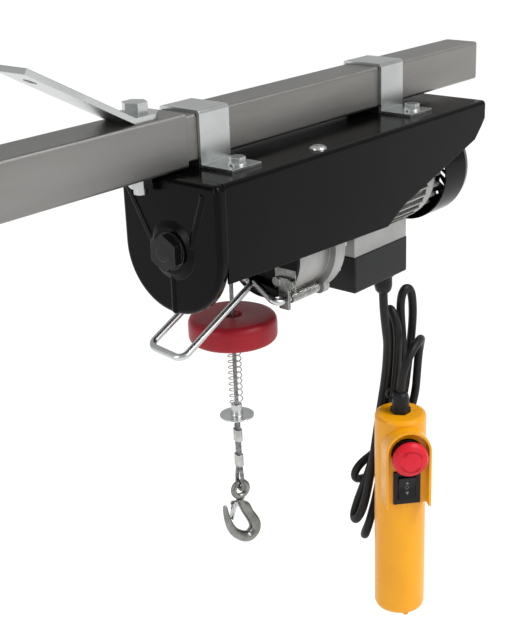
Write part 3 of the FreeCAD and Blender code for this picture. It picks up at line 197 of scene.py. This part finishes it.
def even_steps(points, step):
    """Points at even distances along a line of points."""
    total = length_of(points)
    count = max(2, round(total / step))
    found = [points[0].copy()]
    travelled = 0.0
    wanted = total / count
    for a, b in zip(points, points[1:]):
        run = (b - a).length
        while run > 0 and travelled + run >= wanted * len(found) - 1e-9 and len(found) < count:
            found.append(a.lerp(b, (wanted * len(found) - travelled) / run))
        travelled += run
    found.append(points[-1].copy())
    return found


def swept(name, line, outline, turn_per_metre=0.0):
    """Sweep an outline, a function of the turn that gives (across, up) pairs, along a line."""
    mesh = bpy.data.meshes.new(name)
    rings = []
    verts = []
    faces = []
    across = (line[1] - line[0]).orthogonal().normalized()
    travelled = 0.0
    for number, point in enumerate(line):
        before = line[max(number - 1, 0)]
        after = line[min(number + 1, len(line) - 1)]
        along = (after - before).normalized()
        across = (across - along * across.dot(along)).normalized()
        up = along.cross(across)
        travelled += (point - before).length
        ring = outline(travelled * turn_per_metre)
        rings.append(range(len(verts), len(verts) + len(ring)))
        verts += [point + across * a + up * b for a, b in ring]
    sides = len(rings[0])
    for lower, upper in zip(rings, rings[1:]):
        for k in range(sides):
            j = (k + 1) % sides
            faces.append((lower[k], lower[j], upper[j], upper[k]))
    faces.append(tuple(reversed(rings[0])))
    faces.append(tuple(rings[-1]))
    mesh.from_pydata([tuple(v) for v in verts], [], faces)
    mesh.validate()
    return mesh


def round_outline(radius, sides=12):
    ring = [(radius * math.cos(2 * math.pi * k / sides), radius * math.sin(2 * math.pi * k / sides))
            for k in range(sides)]
    return lambda turn: ring


def laid_outline(radius, sides=36, strands=6):
    """The lobed outline of a six-strand rope, turned by the lay."""
    def ring(turn):
        found = []
        for k in range(sides):
            angle = 2 * math.pi * k / sides
            lobe = abs(math.cos(strands * angle / 2))
            reach = radius * (LOBE_VALLEY + (1 - LOBE_VALLEY) * lobe ** 0.6)
            found.append((reach * math.cos(angle + turn), reach * math.sin(angle + turn)))
        return found
    return ring


def loop_point(side, height):
    """A point in the plane of the rope's end loop, which is square to the hook."""
    sideways = Vector((math.cos(HOOK_TURN + math.pi / 2), math.sin(HOOK_TURN + math.pi / 2), 0))
    return Vector((ROPE_TOP.x, ROPE_TOP.y, 0)) + sideways * side + Vector((0, 0, height))


ROPE_ROUTE = [(0.0, -0.088), (0.0, -0.110), (0.0, -0.140), (0.0, -0.170), (0.0, -0.200),
              (0.0, -0.230), (0.0, -0.260), (-0.0008, -0.279), (-0.00205, -0.294),
              (-0.00205, -0.320), (-0.0022, -0.340), (-0.0050, -0.352), (-0.0056, -0.3635),
              (-0.0030, -0.3665), (0.0030, -0.3665), (0.0056, -0.3635), (0.0050, -0.352),
              (0.0022, -0.340), (0.00205, -0.320), (0.00205, -0.296)]
rope_points = [loop_point(side, height) for side, height in ROPE_ROUTE]
rope_line = even_steps(sampled(rope_points), 0.0009)
rope_mesh = swept("load_rope", rope_line, laid_outline(ROPE_RADIUS), turn_per_metre=LAY_TURN)
rope = new_piece("load_rope", rope_mesh)
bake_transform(rope)
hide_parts("rope_upper", "rope_lower")
print("rope %.3f m in view, %d faces" % (length_of(rope_line), len(rope_mesh.polygons)))

# %% [markdown]
# ## Shared surface effects
#
# Every real finish has life in it: soft clouds of tone, a fine grain that catches the light, and
# edges that have been handled. These three effects come back in nearly every material, so each is
# a node group that is built once. A group gives only masks and heights; each material decides
# what to do with them.

# %% Build the surface groups
def new_group(name, inputs, outputs):
    """A shader node group with named sockets and its two end nodes."""
    group = bpy.data.node_groups.new(name, "ShaderNodeTree")
    for label, kind, default in inputs:
        socket = group.interface.new_socket(label, in_out="INPUT", socket_type=kind)
        socket.default_value = default
    for label, kind in outputs:
        group.interface.new_socket(label, in_out="OUTPUT", socket_type=kind)
    start = group.nodes.new("NodeGroupInput")
    end = group.nodes.new("NodeGroupOutput")
    return group, start, end


def maths(tree, operation, first, second=None):
    node = tree.nodes.new("ShaderNodeMath")
    node.operation = operation
    for socket, value in zip(node.inputs, (first, second)):
        if value is None:
            continue
        if isinstance(value, (int, float)):
            socket.default_value = value
        else:
            tree.links.new(value, socket)
    return node.outputs[0]


def build_cloud_group():
    """Soft tone clouds from 0 to 1, and a fine grain for bumps, both in the piece's own space."""
    group, start, end = new_group(
        "tone_and_grain",
        [("Cloud Scale", "NodeSocketFloat", 20.0), ("Grain Scale", "NodeSocketFloat", 900.0),
         ("Stretch", "NodeSocketVector", (1.0, 1.0, 1.0))],
        [("Cloud", "NodeSocketFloat"), ("Grain", "NodeSocketFloat")])
    place = group.nodes.new("ShaderNodeTexCoord")
    stretch = group.nodes.new("ShaderNodeVectorMath")
    stretch.operation = "MULTIPLY"
    group.links.new(place.outputs["Object"], stretch.inputs[0])
    group.links.new(start.outputs["Stretch"], stretch.inputs[1])
    for output, detail in (("Cloud", 4.0), ("Grain", 3.0)):
        noise = group.nodes.new("ShaderNodeTexNoise")
        noise.inputs["Detail"].default_value = detail
        noise.inputs["Roughness"].default_value = 0.55
        group.links.new(stretch.outputs[0], noise.inputs["Vector"])
        group.links.new(start.outputs[output + " Scale"], noise.inputs["Scale"])
        group.links.new(noise.outputs[0], end.inputs[output])
    return group


def build_edge_group():
    """Edges found by rounding them: a normal that turns softly, and a mask of what turned."""
    group, start, end = new_group(
        "soft_edges",
        [("Noise Scale", "NodeSocketFloat", 140.0)],
        [("Mask", "NodeSocketFloat"), ("Normal", "NodeSocketVector")])
    soft = group.nodes.new("ShaderNodeBevel")
    soft.samples = 4
    soft.inputs["Radius"].default_value = 0.0009
    shape = group.nodes.new("ShaderNodeNewGeometry")
    turned = group.nodes.new("ShaderNodeVectorMath")
    turned.operation = "DOT_PRODUCT"
    group.links.new(soft.outputs[0], turned.inputs[0])
    group.links.new(shape.outputs["Normal"], turned.inputs[1])
    place = group.nodes.new("ShaderNodeTexCoord")
    noise = group.nodes.new("ShaderNodeTexNoise")
    noise.inputs["Detail"].default_value = 5.0
    group.links.new(place.outputs["Object"], noise.inputs["Vector"])
    group.links.new(start.outputs["Noise Scale"], noise.inputs["Scale"])
    sharp = maths(group, "SUBTRACT", 1.0, turned.outputs["Value"])
    patchy = maths(group, "SUBTRACT", maths(group, "MULTIPLY", noise.outputs[0], 1.6), 0.35)
    mask = maths(group, "MULTIPLY", maths(group, "MULTIPLY", sharp, 9.0), patchy)
    clamp = group.nodes.new("ShaderNodeClamp")
    group.links.new(mask, clamp.inputs["Value"])
    group.links.new(clamp.outputs[0], end.inputs["Mask"])
    group.links.new(soft.outputs[0], end.inputs["Normal"])
    return group


def build_scratch_group():
    """Thin random scratches: a stretched noise cut to narrow lines, from 0 to 1."""
    group, start, end = new_group(
        "fine_scratches",
        [("Scale", "NodeSocketFloat", 60.0), ("Stretch", "NodeSocketVector", (1.0, 12.0, 12.0))],
        [("Mask", "NodeSocketFloat")])
    place = group.nodes.new("ShaderNodeTexCoord")
    stretch = group.nodes.new("ShaderNodeVectorMath")
    stretch.operation = "MULTIPLY"
    noise = group.nodes.new("ShaderNodeTexNoise")
    noise.inputs["Detail"].default_value = 6.0
    noise.inputs["Roughness"].default_value = 0.7
    group.links.new(place.outputs["Object"], stretch.inputs[0])
    group.links.new(start.outputs["Stretch"], stretch.inputs[1])
    group.links.new(stretch.outputs[0], noise.inputs["Vector"])
    group.links.new(start.outputs["Scale"], noise.inputs["Scale"])
    line = maths(group, "ABSOLUTE", maths(group, "SUBTRACT", noise.outputs[0], 0.5))
    mask = maths(group, "SUBTRACT", 1.0, maths(group, "MULTIPLY", line, 28.0))
    clamp = group.nodes.new("ShaderNodeClamp")
    group.links.new(mask, clamp.inputs["Value"])
    group.links.new(clamp.outputs[0], end.inputs["Mask"])
    return group


TONE = build_cloud_group()
EDGES = build_edge_group()
SCRATCH = build_scratch_group()
print("groups:", [group.name for group in (TONE, EDGES, SCRATCH)])

# %% [markdown]
# ## The finishes
#
# A finish is a Principled shader with its own numbers. The clouds move its colour and gloss a
# little, the grain goes to a bump, and where the real finish wears, the wear mask lets the metal
# or the paler ground show. Constant numbers stay on the shader itself.

# %% Make a finish
def finish(name, dark, light, gloss, metallic=0.0, cloud=20.0, grain=900.0, bump=0.05,
           stretch=(1, 1, 1), worn=None, scratch=0.0, specular=0.5):
    """A material whose colour runs from dark to light and whose roughness runs over gloss."""
    material = bpy.data.materials.new(name)
    material.use_nodes = True
    tree = material.node_tree
    shader = tree.nodes["Principled BSDF"]
    shader.inputs["Metallic"].default_value = metallic
    shader.inputs["Specular IOR Level"].default_value = specular
    tone = tree.nodes.new("ShaderNodeGroup")
    tone.node_tree = TONE
    tone.inputs["Cloud Scale"].default_value = cloud
    tone.inputs["Grain Scale"].default_value = grain
    tone.inputs["Stretch"].default_value = stretch
    ramp = tree.nodes.new("ShaderNodeValToRGB")
    ramp.color_ramp.elements[0].position = 0.32
    ramp.color_ramp.elements[1].position = 0.68
    ramp.color_ramp.elements[0].color = (*dark, 1.0)
    ramp.color_ramp.elements[1].color = (*light, 1.0)
    tree.links.new(tone.outputs["Cloud"], ramp.inputs[0])
    colour = ramp.outputs[0]
    rough = tree.nodes.new("ShaderNodeMapRange")
    rough.inputs["From Min"].default_value = 0.3
    rough.inputs["From Max"].default_value = 0.7
    rough.inputs["To Min"].default_value = gloss[0]
    rough.inputs["To Max"].default_value = gloss[1]
    tree.links.new(tone.outputs["Cloud"], rough.inputs["Value"])
    roughness = rough.outputs[0]
    height = tone.outputs["Grain"]
    if scratch:
        marks = tree.nodes.new("ShaderNodeGroup")
        marks.node_tree = SCRATCH
        marks.inputs["Stretch"].default_value = tuple(0.15 + 6.0 / s for s in stretch)
        roughness = maths(tree, "ADD", roughness, maths(tree, "MULTIPLY", marks.outputs[0], scratch))
        height = maths(tree, "SUBTRACT", height, maths(tree, "MULTIPLY", marks.outputs[0], 0.6))
    edge = tree.nodes.new("ShaderNodeGroup")
    edge.node_tree = EDGES
    if worn:
        mix = tree.nodes.new("ShaderNodeMix")
        mix.data_type = "RGBA"
        mix.inputs["B"].default_value = (*worn, 1.0)
        tree.links.new(edge.outputs[0], mix.inputs["Factor"])
        tree.links.new(colour, mix.inputs["A"])
        colour = mix.outputs["Result"]
    tree.links.new(colour, shader.inputs["Base Color"])
    tree.links.new(roughness, shader.inputs["Roughness"])
    relief = tree.nodes.new("ShaderNodeBump")
    relief.inputs["Strength"].default_value = bump
    relief.inputs["Distance"].default_value = 0.0002
    tree.links.new(height, relief.inputs["Height"])
    tree.links.new(edge.outputs["Normal"], relief.inputs["Normal"])
    tree.links.new(relief.outputs[0], shader.inputs["Normal"])
    return material


FINISHES = {
    "sleeve_steel": finish("drawn_sleeve_steel", (0.158, 0.156, 0.151), (0.275, 0.270, 0.260),
                           (0.28, 0.42), metallic=1.0, cloud=14, grain=260, bump=0.22,
                           stretch=(0.12, 1, 1), scratch=0.12, worn=(0.40, 0.39, 0.37)),
    "tube_steel": finish("drawn_tube_steel", (0.160, 0.156, 0.148), (0.285, 0.278, 0.264),
                         (0.26, 0.40), metallic=1.0, cloud=16, grain=260, bump=0.22,
                         stretch=(0.12, 1, 1), scratch=0.12, worn=(0.45, 0.44, 0.42)),
    "zinc": finish("bright_zinc", (0.45, 0.468, 0.462), (0.59, 0.61, 0.604), (0.20, 0.32),
                   metallic=1.0, cloud=16, grain=420, bump=0.05, worn=(0.62, 0.63, 0.62)),
    "black_paint": finish("black_enamel", (0.0012, 0.0012, 0.0012), (0.0024, 0.0023, 0.0022),
                          (0.13, 0.22), cloud=9, grain=330, bump=0.06, specular=0.09,
                          worn=(0.035, 0.034, 0.032)),
    "black_steel": finish("blackened_steel", (0.004, 0.004, 0.004), (0.010, 0.010, 0.010),
                          (0.20, 0.34), cloud=60, grain=500, bump=0.15, specular=0.22,
                          worn=(0.07, 0.07, 0.07)),
    "bearing_steel": finish("polished_bearing", (0.5, 0.5, 0.5), (0.7, 0.7, 0.7), (0.08, 0.18),
                            metallic=1.0, cloud=40),
    "machined_steel": finish("turned_steel", (0.32, 0.32, 0.31), (0.50, 0.49, 0.48),
                             (0.20, 0.34), metallic=1.0, cloud=30, grain=800, bump=0.2,
                             stretch=(4, 1, 1)),
    "rope_steel": finish("bright_rope_wire", (0.10, 0.10, 0.098), (0.30, 0.30, 0.29),
                         (0.28, 0.46), metallic=1.0, cloud=200, grain=1800, bump=0.5),
    "cast_aluminium": finish("die_cast_aluminium", (0.27, 0.27, 0.262), (0.41, 0.41, 0.398),
                             (0.34, 0.50), metallic=0.8, cloud=26, grain=700, bump=0.4,
                             worn=(0.50, 0.50, 0.48)),
    "dark_aluminium": finish("extruded_aluminium", (0.23, 0.23, 0.22), (0.40, 0.40, 0.385),
                             (0.32, 0.48), metallic=0.9, cloud=18, grain=420, bump=0.25,
                             stretch=(0.2, 1, 1), worn=(0.42, 0.42, 0.39)),
    "black_plastic": finish("moulded_black_plastic", (0.004, 0.0043, 0.0048),
                            (0.009, 0.0096, 0.0105), (0.32, 0.50), cloud=35, grain=1500, bump=0.35,
                            specular=0.22, worn=(0.020, 0.021, 0.023)),
    "grey_plastic": finish("grey_plastic", (0.15, 0.15, 0.15), (0.20, 0.20, 0.195), (0.4, 0.55),
                           cloud=30, grain=1200, bump=0.2),
    "black_rubber": finish("black_rubber", (0.0035, 0.0035, 0.0035), (0.008, 0.008, 0.0078),
                           (0.38, 0.58), cloud=45, grain=1100, bump=0.4, specular=0.24),
    "rubber_pad": finish("rubber_pad", (0.006, 0.006, 0.006), (0.015, 0.015, 0.015), (0.6, 0.8),
                         cloud=40, grain=900, bump=0.5, specular=0.2),
    "red_paint": finish("red_enamel", (0.19, 0.004, 0.010), (0.29, 0.009, 0.018), (0.30, 0.46),
                        cloud=14, grain=240, bump=0.16, specular=0.22, worn=(0.42, 0.05, 0.06)),
    "red_plastic": finish("red_button_plastic", (0.52, 0.009, 0.022), (0.60, 0.014, 0.030),
                          (0.30, 0.42), cloud=24, grain=1400, bump=0.12, specular=0.22),
    "red_mark": finish("red_raised_mark", (0.34, 0.004, 0.010), (0.40, 0.006, 0.014),
                       (0.36, 0.48), cloud=24, grain=1400, bump=0.12, specular=0.22),
    "yellow_plastic": finish("yellow_moulding", (0.70, 0.285, 0.001), (0.78, 0.345, 0.003),
                             (0.22, 0.34), cloud=12, grain=1300, bump=0.14, specular=0.34),
    "spring_steel": finish("spring_wire", (0.30, 0.30, 0.29), (0.50, 0.50, 0.48), (0.18, 0.30),
                           metallic=1.0, cloud=90, grain=900, bump=0.1),
    "ferrule_aluminium": finish("pressed_ferrule", (0.34, 0.34, 0.33), (0.54, 0.54, 0.52),
                                (0.24, 0.40), metallic=1.0, cloud=120, grain=700, bump=0.4),
    "forged_steel": finish("forged_hook_steel", (0.13, 0.135, 0.125), (0.27, 0.275, 0.26),
                           (0.20, 0.34), metallic=1.0, cloud=70, grain=500, bump=0.25,
                           worn=(0.5, 0.5, 0.48)),
}
SPECIAL_FINISH = {"hook": "forged_steel", "lever_bracket": "forged_steel"}
cable.data.materials.append(FINISHES["black_rubber"])
rope.data.materials.append(FINISHES["rope_steel"])
print(len(FINISHES), "finishes")

# %% [markdown]
# ## Dress the carried-over metalwork
#
# The frame's own nodes keep their meshes. Each takes the finish that its record names. The hook
# and the lever's bracket are forged steel, darker than the zinc sheet round them.

# %% Give each node its finish
for part in frame["record"]["subparts"]:
    node = frame["nodes"][part["node"]]
    node.data.materials.clear()
    kind = SPECIAL_FINISH.get(part["node"], part["material_slot"])
    node.data.materials.append(FINISHES[kind])
print(len(frame["nodes"]), "nodes dressed")

# %% [markdown]
# ## Turned and coiled pieces
#
# Discs, caps and rings are lathe work: an outline of (height, radius) pairs spun about an axis.
# Real turned and cast edges are never sharp, so a corner may ask for a rounding and gets a short
# arc. Coils are round wire along a worked-out helix.

# %% Lathe and coil helpers
def rounded(corners, steps=5):
    """An outline from (height, radius, rounding) corners; each rounding becomes an arc."""
    points = []
    for number, corner in enumerate(corners):
        here = Vector(corner[:2])
        round_by = corner[2] if len(corner) > 2 else 0.0
        if not round_by or number in (0, len(corners) - 1):
            points.append(here)
            continue
        before = (Vector(corners[number - 1][:2]) - here).normalized()
        after = (Vector(corners[number + 1][:2]) - here).normalized()
        for step in range(steps + 1):
            share = step / steps
            first = here + before * round_by * (1 - share)
            second = here + after * round_by * share
            points.append(first.lerp(second, share))
    return points


def lathed(name, outline, place, body, slot, sides):
    """Spin an outline about the local Z axis of a place, given as a matrix."""
    model = bmesh.new()
    rings = []
    for height, radius in outline:
        if radius < 1e-7:
            rings.append([model.verts.new((0, 0, height))])
        else:
            rings.append([model.verts.new((radius * math.cos(2 * math.pi * k / sides),
                                           radius * math.sin(2 * math.pi * k / sides), height))
                          for k in range(sides)])
    for lower, upper in zip(rings, rings[1:]):
        for k in range(sides):
            corners = [lower[k % len(lower)], lower[(k + 1) % sides % len(lower)],
                       upper[(k + 1) % sides % len(upper)], upper[k % len(upper)]]
            unique = list(dict.fromkeys(corners))
            if len(unique) > 2:
                model.faces.new(unique)
    bmesh.ops.recalc_face_normals(model, faces=model.faces)
    model.transform(place)
    mesh = bpy.data.meshes.new(name)
    model.to_mesh(mesh)
    model.free()
    piece = new_piece(name, mesh, body)
    mesh.set_sharp_from_angle(angle=math.radians(35.0))
    mesh.materials.append(FINISHES[slot])
    return piece


def coil(name, start, end, radius, wire, turns, body, slot, sides=8, per_turn=28):
    """Round wire wound about the line from start to end, with its last turns drawn flat."""
    axis = (end - start).normalized()
    side = axis.orthogonal().normalized()
    up = axis.cross(side)
    line = []
    count = int(turns * per_turn)
    for number in range(count + 1):
        share = number / count
        eased = share + 0.35 / turns * math.sin(2 * math.pi * share) / math.pi
        angle = 2 * math.pi * turns * share
        spoke = side * math.cos(angle) + up * math.sin(angle)
        line.append(start.lerp(end, eased) + spoke * radius)
    piece = new_piece(name, swept(name, line, round_outline(wire, sides)), body)
    piece.data.materials.append(FINISHES[slot])
    return piece


# %% [markdown]
# ## Rope on the drum
#
# The rope that is not paid out lies on the drum in close turns. On the real drum each turn sits
# beside the last one, a rope's width along. A worked-out helix of plain round section, two
# layers deep, shows that at far less cost than sweeping the lobed outline along it all.

# %% Wind the rope
DRUM_AXIS = HOIST + Vector((0, -0.022, -0.062))
ROPE_PITCH = 0.0042


def wound(name, first_x, last_x, radius):
    """One layer of close turns on the drum."""
    start = DRUM_AXIS + Vector((first_x, 0, 0))
    end = DRUM_AXIS + Vector((last_x, 0, 0))
    turns = (last_x - first_x) / ROPE_PITCH
    return coil(name, start, end, radius, ROPE_RADIUS, turns, "drum", "rope_steel", sides=10,
                per_turn=40)


outer_turns = wound("wound_rope_outer", 0.0185, 0.0935, 0.0260)
inner_turns = wound("wound_rope_inner", 0.0955, 0.1035, 0.0220)
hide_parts("rope_pack")
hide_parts("rope_pack")
print("wound rope:", len(outer_turns.data.polygons) + len(inner_turns.data.polygons), "faces")

# %% [markdown]
# ## The red weight and its spring
#
# The weight is an enamelled cast disc with soft edges and a shallow well round the rope. It keeps
# the empty rope taut. Below it a light wire spring stands on the flanged sleeve: when the hook comes
# right up, the weight pushes the limit lever and the spring takes the knock.

# %% Cast the weight and wind its spring
DISC_LOW, DISC_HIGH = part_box("weight_disc")
disc_radius = (DISC_HIGH[0] - DISC_LOW[0]) / 2
disc_depth = DISC_HIGH[2] - DISC_LOW[2]
rope_foot = Vector((ROPE_TOP.x, ROPE_TOP.y, DISC_LOW[2]))
disc_outline = rounded([(0.0, 0.0027), (0.0, disc_radius, 0.006), (disc_depth, disc_radius, 0.0075),
                        (disc_depth, 0.0092, 0.0012), (disc_depth - 0.004, 0.0078, 0.0008),
                        (disc_depth - 0.004, 0.0027), (0.0, 0.0027)])
disc = lathed("red_weight", disc_outline, Matrix.Translation(rope_foot), "weight", "red_paint",
              sides=96)
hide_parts("weight_disc")

SPRING_LOW, SPRING_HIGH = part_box("disc_spring")
spring_wire = 0.0005
spring_radius = (SPRING_HIGH[0] - SPRING_LOW[0]) / 2 - spring_wire
spring_foot = Vector((ROPE_TOP.x, ROPE_TOP.y, SPRING_LOW[2] + spring_wire))
spring_head = Vector((ROPE_TOP.x, ROPE_TOP.y, SPRING_HIGH[2] - spring_wire))
spring = coil("weight_spring", spring_foot, spring_head, spring_radius, spring_wire, 11, "load",
              "spring_steel")
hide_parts("disc_spring")
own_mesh(spring)
print("weight %.0f mm across, spring %.0f mm long" %
      (2000 * disc_radius, 1000 * (spring_head - spring_foot).length))

# %% [markdown]
# ## The lever's return spring
#
# A torsion spring is wound round the limit lever's shaft and brings the lever back down. The
# frame has a plain sleeve in its place; close turns of wire of the same size replace it.

# %% Wind the lever spring
SLEEVE_LOW, SLEEVE_HIGH = (Vector(corner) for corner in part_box("lever_spring"))
sleeve_middle = (SLEEVE_LOW + SLEEVE_HIGH) / 2
lever_wire = 0.0006
lever_radius = (SLEEVE_HIGH.z - SLEEVE_LOW.z) / 2 - lever_wire
lever_coil = coil("lever_return_spring", Vector((SLEEVE_LOW.x + lever_wire, *sleeve_middle.yz)),
                  Vector((SLEEVE_HIGH.x - lever_wire, *sleeve_middle.yz)), lever_radius, lever_wire,
                  round((SLEEVE_HIGH.x - SLEEVE_LOW.x) / 0.0017), "hoist", "spring_steel", sides=6)
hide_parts("lever_spring")
print("lever spring %.1f mm across" % (2000 * (lever_radius + lever_wire)))

# %% [markdown]
# ## Pendant details
#
# The pendant's own space makes its details easy to place: across is to the right of the grip,
# out is towards the hand. The stop button carries two turning arrows pressed into its face, the
# rocker has an up mark, a ring and a down mark, and an eyelet on the gland takes a strain cord.

# %% Make the pendant's small pieces
PENDANT = (Matrix.Translation(HOIST + Vector((0.298, -0.049, 0)))
           @ Matrix.Rotation(math.radians(-41.5), 4, "Z"))
STOP_HEIGHT = -0.3530
ROCKER_HEIGHT = -0.3935
FACE_OUT = 0.029


def on_pendant(across, out, height):
    return PENDANT @ Vector((across, -out, height))


def outline_piece(name, shapes, thickness, place, body, slot, finish_name=None):
    """Flat shapes, each a list of (x, y) corners, raised to a thickness in a place's XY plane."""
    model = bmesh.new()
    for shape in shapes:
        face = model.faces.new([model.verts.new((x, y, 0.0)) for x, y in shape])
        raised = bmesh.ops.extrude_face_region(model, geom=[face])
        moved = [item for item in raised["geom"] if isinstance(item, bmesh.types.BMVert)]
        bmesh.ops.translate(model, verts=moved, vec=(0, 0, thickness))
    bmesh.ops.recalc_face_normals(model, faces=model.faces)
    model.transform(place)
    mesh = bpy.data.meshes.new(name)
    model.to_mesh(mesh)
    model.free()
    piece = new_piece(name, mesh, body, smooth=False)
    mesh.materials.append(FINISHES[finish_name or slot])
    return piece


def facing_out(across, out, height, lean=0.0):
    """A place on the pendant whose X is across, Y is up and Z points towards the hand."""
    turned = Matrix.Rotation(math.radians(90.0 + lean), 4, "X")
    return PENDANT @ Matrix.Translation((across, -out, height)) @ turned


def on_circle(radius, angle):
    return radius * math.cos(angle), radius * math.sin(angle)


def arc_arrow(radius, start, end, width, head):
    """A curved arrow as one outline, from one angle to another in degrees."""
    steps = 14
    angles = [math.radians(start + (end - start) * k / steps) for k in range(steps + 1)]
    outer = [on_circle(radius + width / 2, angle) for angle in angles]
    inner = [on_circle(radius - width / 2, angle) for angle in angles]
    way = 1 if end > start else -1
    tip = angles[-1] + way * head * 1.5 / radius
    point = [on_circle(radius + head / 2, angles[-1]), on_circle(radius, tip),
             on_circle(radius - head / 2, angles[-1])]
    return outer + point + inner[::-1]


arrows = outline_piece("stop_arrows", [arc_arrow(0.0118, 20, 118, 0.0012, 0.0036),
                                       arc_arrow(0.0118, 200, 298, 0.0012, 0.0036)], 0.0008,
                       facing_out(0, FACE_OUT + 0.0221, STOP_HEIGHT), "estop_cap", "red_plastic",
                       "red_mark")
mark_lean = math.degrees(math.atan2(3.0, 12.4))
triangle = [(-0.0019, -0.0016), (0.0019, -0.0016), (0.0, 0.0018)]
upper_mark = outline_piece("rocker_mark_up", [triangle], 0.0002,
                           facing_out(0, FACE_OUT + 0.00318, ROCKER_HEIGHT + 0.0062, mark_lean),
                           "rocker", "grey_plastic")
lower_mark = outline_piece("rocker_mark_down", [[(x, -y) for x, y in triangle[::-1]]], 0.0002,
                           facing_out(0, FACE_OUT + 0.00318, ROCKER_HEIGHT - 0.0062, -mark_lean),
                           "rocker", "grey_plastic")
ring_line = [on_pendant(0.0018 * math.cos(2 * math.pi * k / 24), FACE_OUT + 0.0019,
                        ROCKER_HEIGHT + 0.0018 * math.sin(2 * math.pi * k / 24)) for k in range(25)]
ring_mark = new_piece("rocker_mark_ring", swept("rocker_mark_ring", ring_line,
                                                round_outline(0.0003, 6)), "rocker")
ring_mark.data.materials.append(FINISHES["grey_plastic"])

eyelet_middle = PENDANT @ Vector((-0.0105, 0.0035, -0.2975))
eyelet_line = []
for k in range(33):
    angle = 2 * math.pi * k / 32
    reach = Vector((0.0036 * math.cos(angle), 0, 0.0052 * math.sin(angle)))
    eyelet_line.append(eyelet_middle + PENDANT.to_3x3() @ reach)
eyelet = new_piece("gland_eyelet", swept("gland_eyelet", eyelet_line, round_outline(0.0014, 10)),
                   "pendant")
eyelet.data.materials.append(FINISHES["black_plastic"])
print("pendant details made")

# %% [markdown]
# ## Room and light
#
# A plain pale floor and soft studio light. The floor lies far below the hanging hoist, so its
# brightness also fills the undersides. A broad sun from the front right gives the tubes their
# soft gradients, a large panel from the left draws one clean highlight down the grip, and the
# pale surrounding keeps the metal from going black.

# %% Set up the studio
bpy.context.scene.view_settings.view_transform = "Standard"
FLOOR_HEIGHT = -1.1
floor_mesh = bpy.data.meshes.new("studio_floor")
FLOOR_REACH = 60.0
floor_corners = [(x * FLOOR_REACH, y * FLOOR_REACH, 0)
                 for x, y in ((-1, -1), (1, -1), (1, 1), (-1, 1))]
floor_mesh.from_pydata(floor_corners, [], [(0, 1, 2, 3)])
floor = bpy.data.objects.new("studio_floor", floor_mesh)
floor.location = (0, 0, FLOOR_HEIGHT)
bpy.context.scene.collection.objects.link(floor)
floor_material = bpy.data.materials.new("pale_floor")
floor_material.use_nodes = True
floor_shader = floor_material.node_tree.nodes["Principled BSDF"]
floor_shader.inputs["Base Color"].default_value = (0.92, 0.92, 0.92, 1)
floor_shader.inputs["Roughness"].default_value = 0.9
floor_mesh.materials.append(floor_material)

world = bpy.data.worlds.new("studio")
bpy.context.scene.world = world
world.use_nodes = True
world.node_tree.nodes["Background"].inputs["Color"].default_value = (1.0, 1.0, 1.0, 1)
world.node_tree.nodes["Background"].inputs["Strength"].default_value = 0.55


def soft_light(name, place, target, size, power):
    data = bpy.data.lights.new(name, "AREA")
    data.shape = "RECTANGLE"
    data.size, data.size_y = size
    data.energy = power
    lamp = bpy.data.objects.new(name, data)
    lamp.location = place
    lamp.rotation_euler = (Vector(target) - Vector(place)).to_track_quat("-Z", "Y").to_euler()
    bpy.context.scene.collection.objects.link(lamp)
    return lamp


sun_data = bpy.data.lights.new("broad_sun", "SUN")
sun_data.energy = 2.2
sun_data.angle = math.radians(25.0)
sun = bpy.data.objects.new("broad_sun", sun_data)
sun.rotation_euler = Vector((-0.35, 0.75, -1.25)).to_track_quat("-Z", "Y").to_euler()
bpy.context.scene.collection.objects.link(sun)
MIDDLE = (0.40, 0.0, -0.20)
soft_light("left_panel", (-1.3, 0.3, 0.4), MIDDLE, (0.5, 1.6), 10)
soft_light("front_panel", (0.4, -2.2, 0.9), MIDDLE, (1.8, 1.2), 18)

# %% [markdown]
# ## Finish
#
# The last line brings the scene up to date.

# %% Finish
bpy.context.view_layer.update()
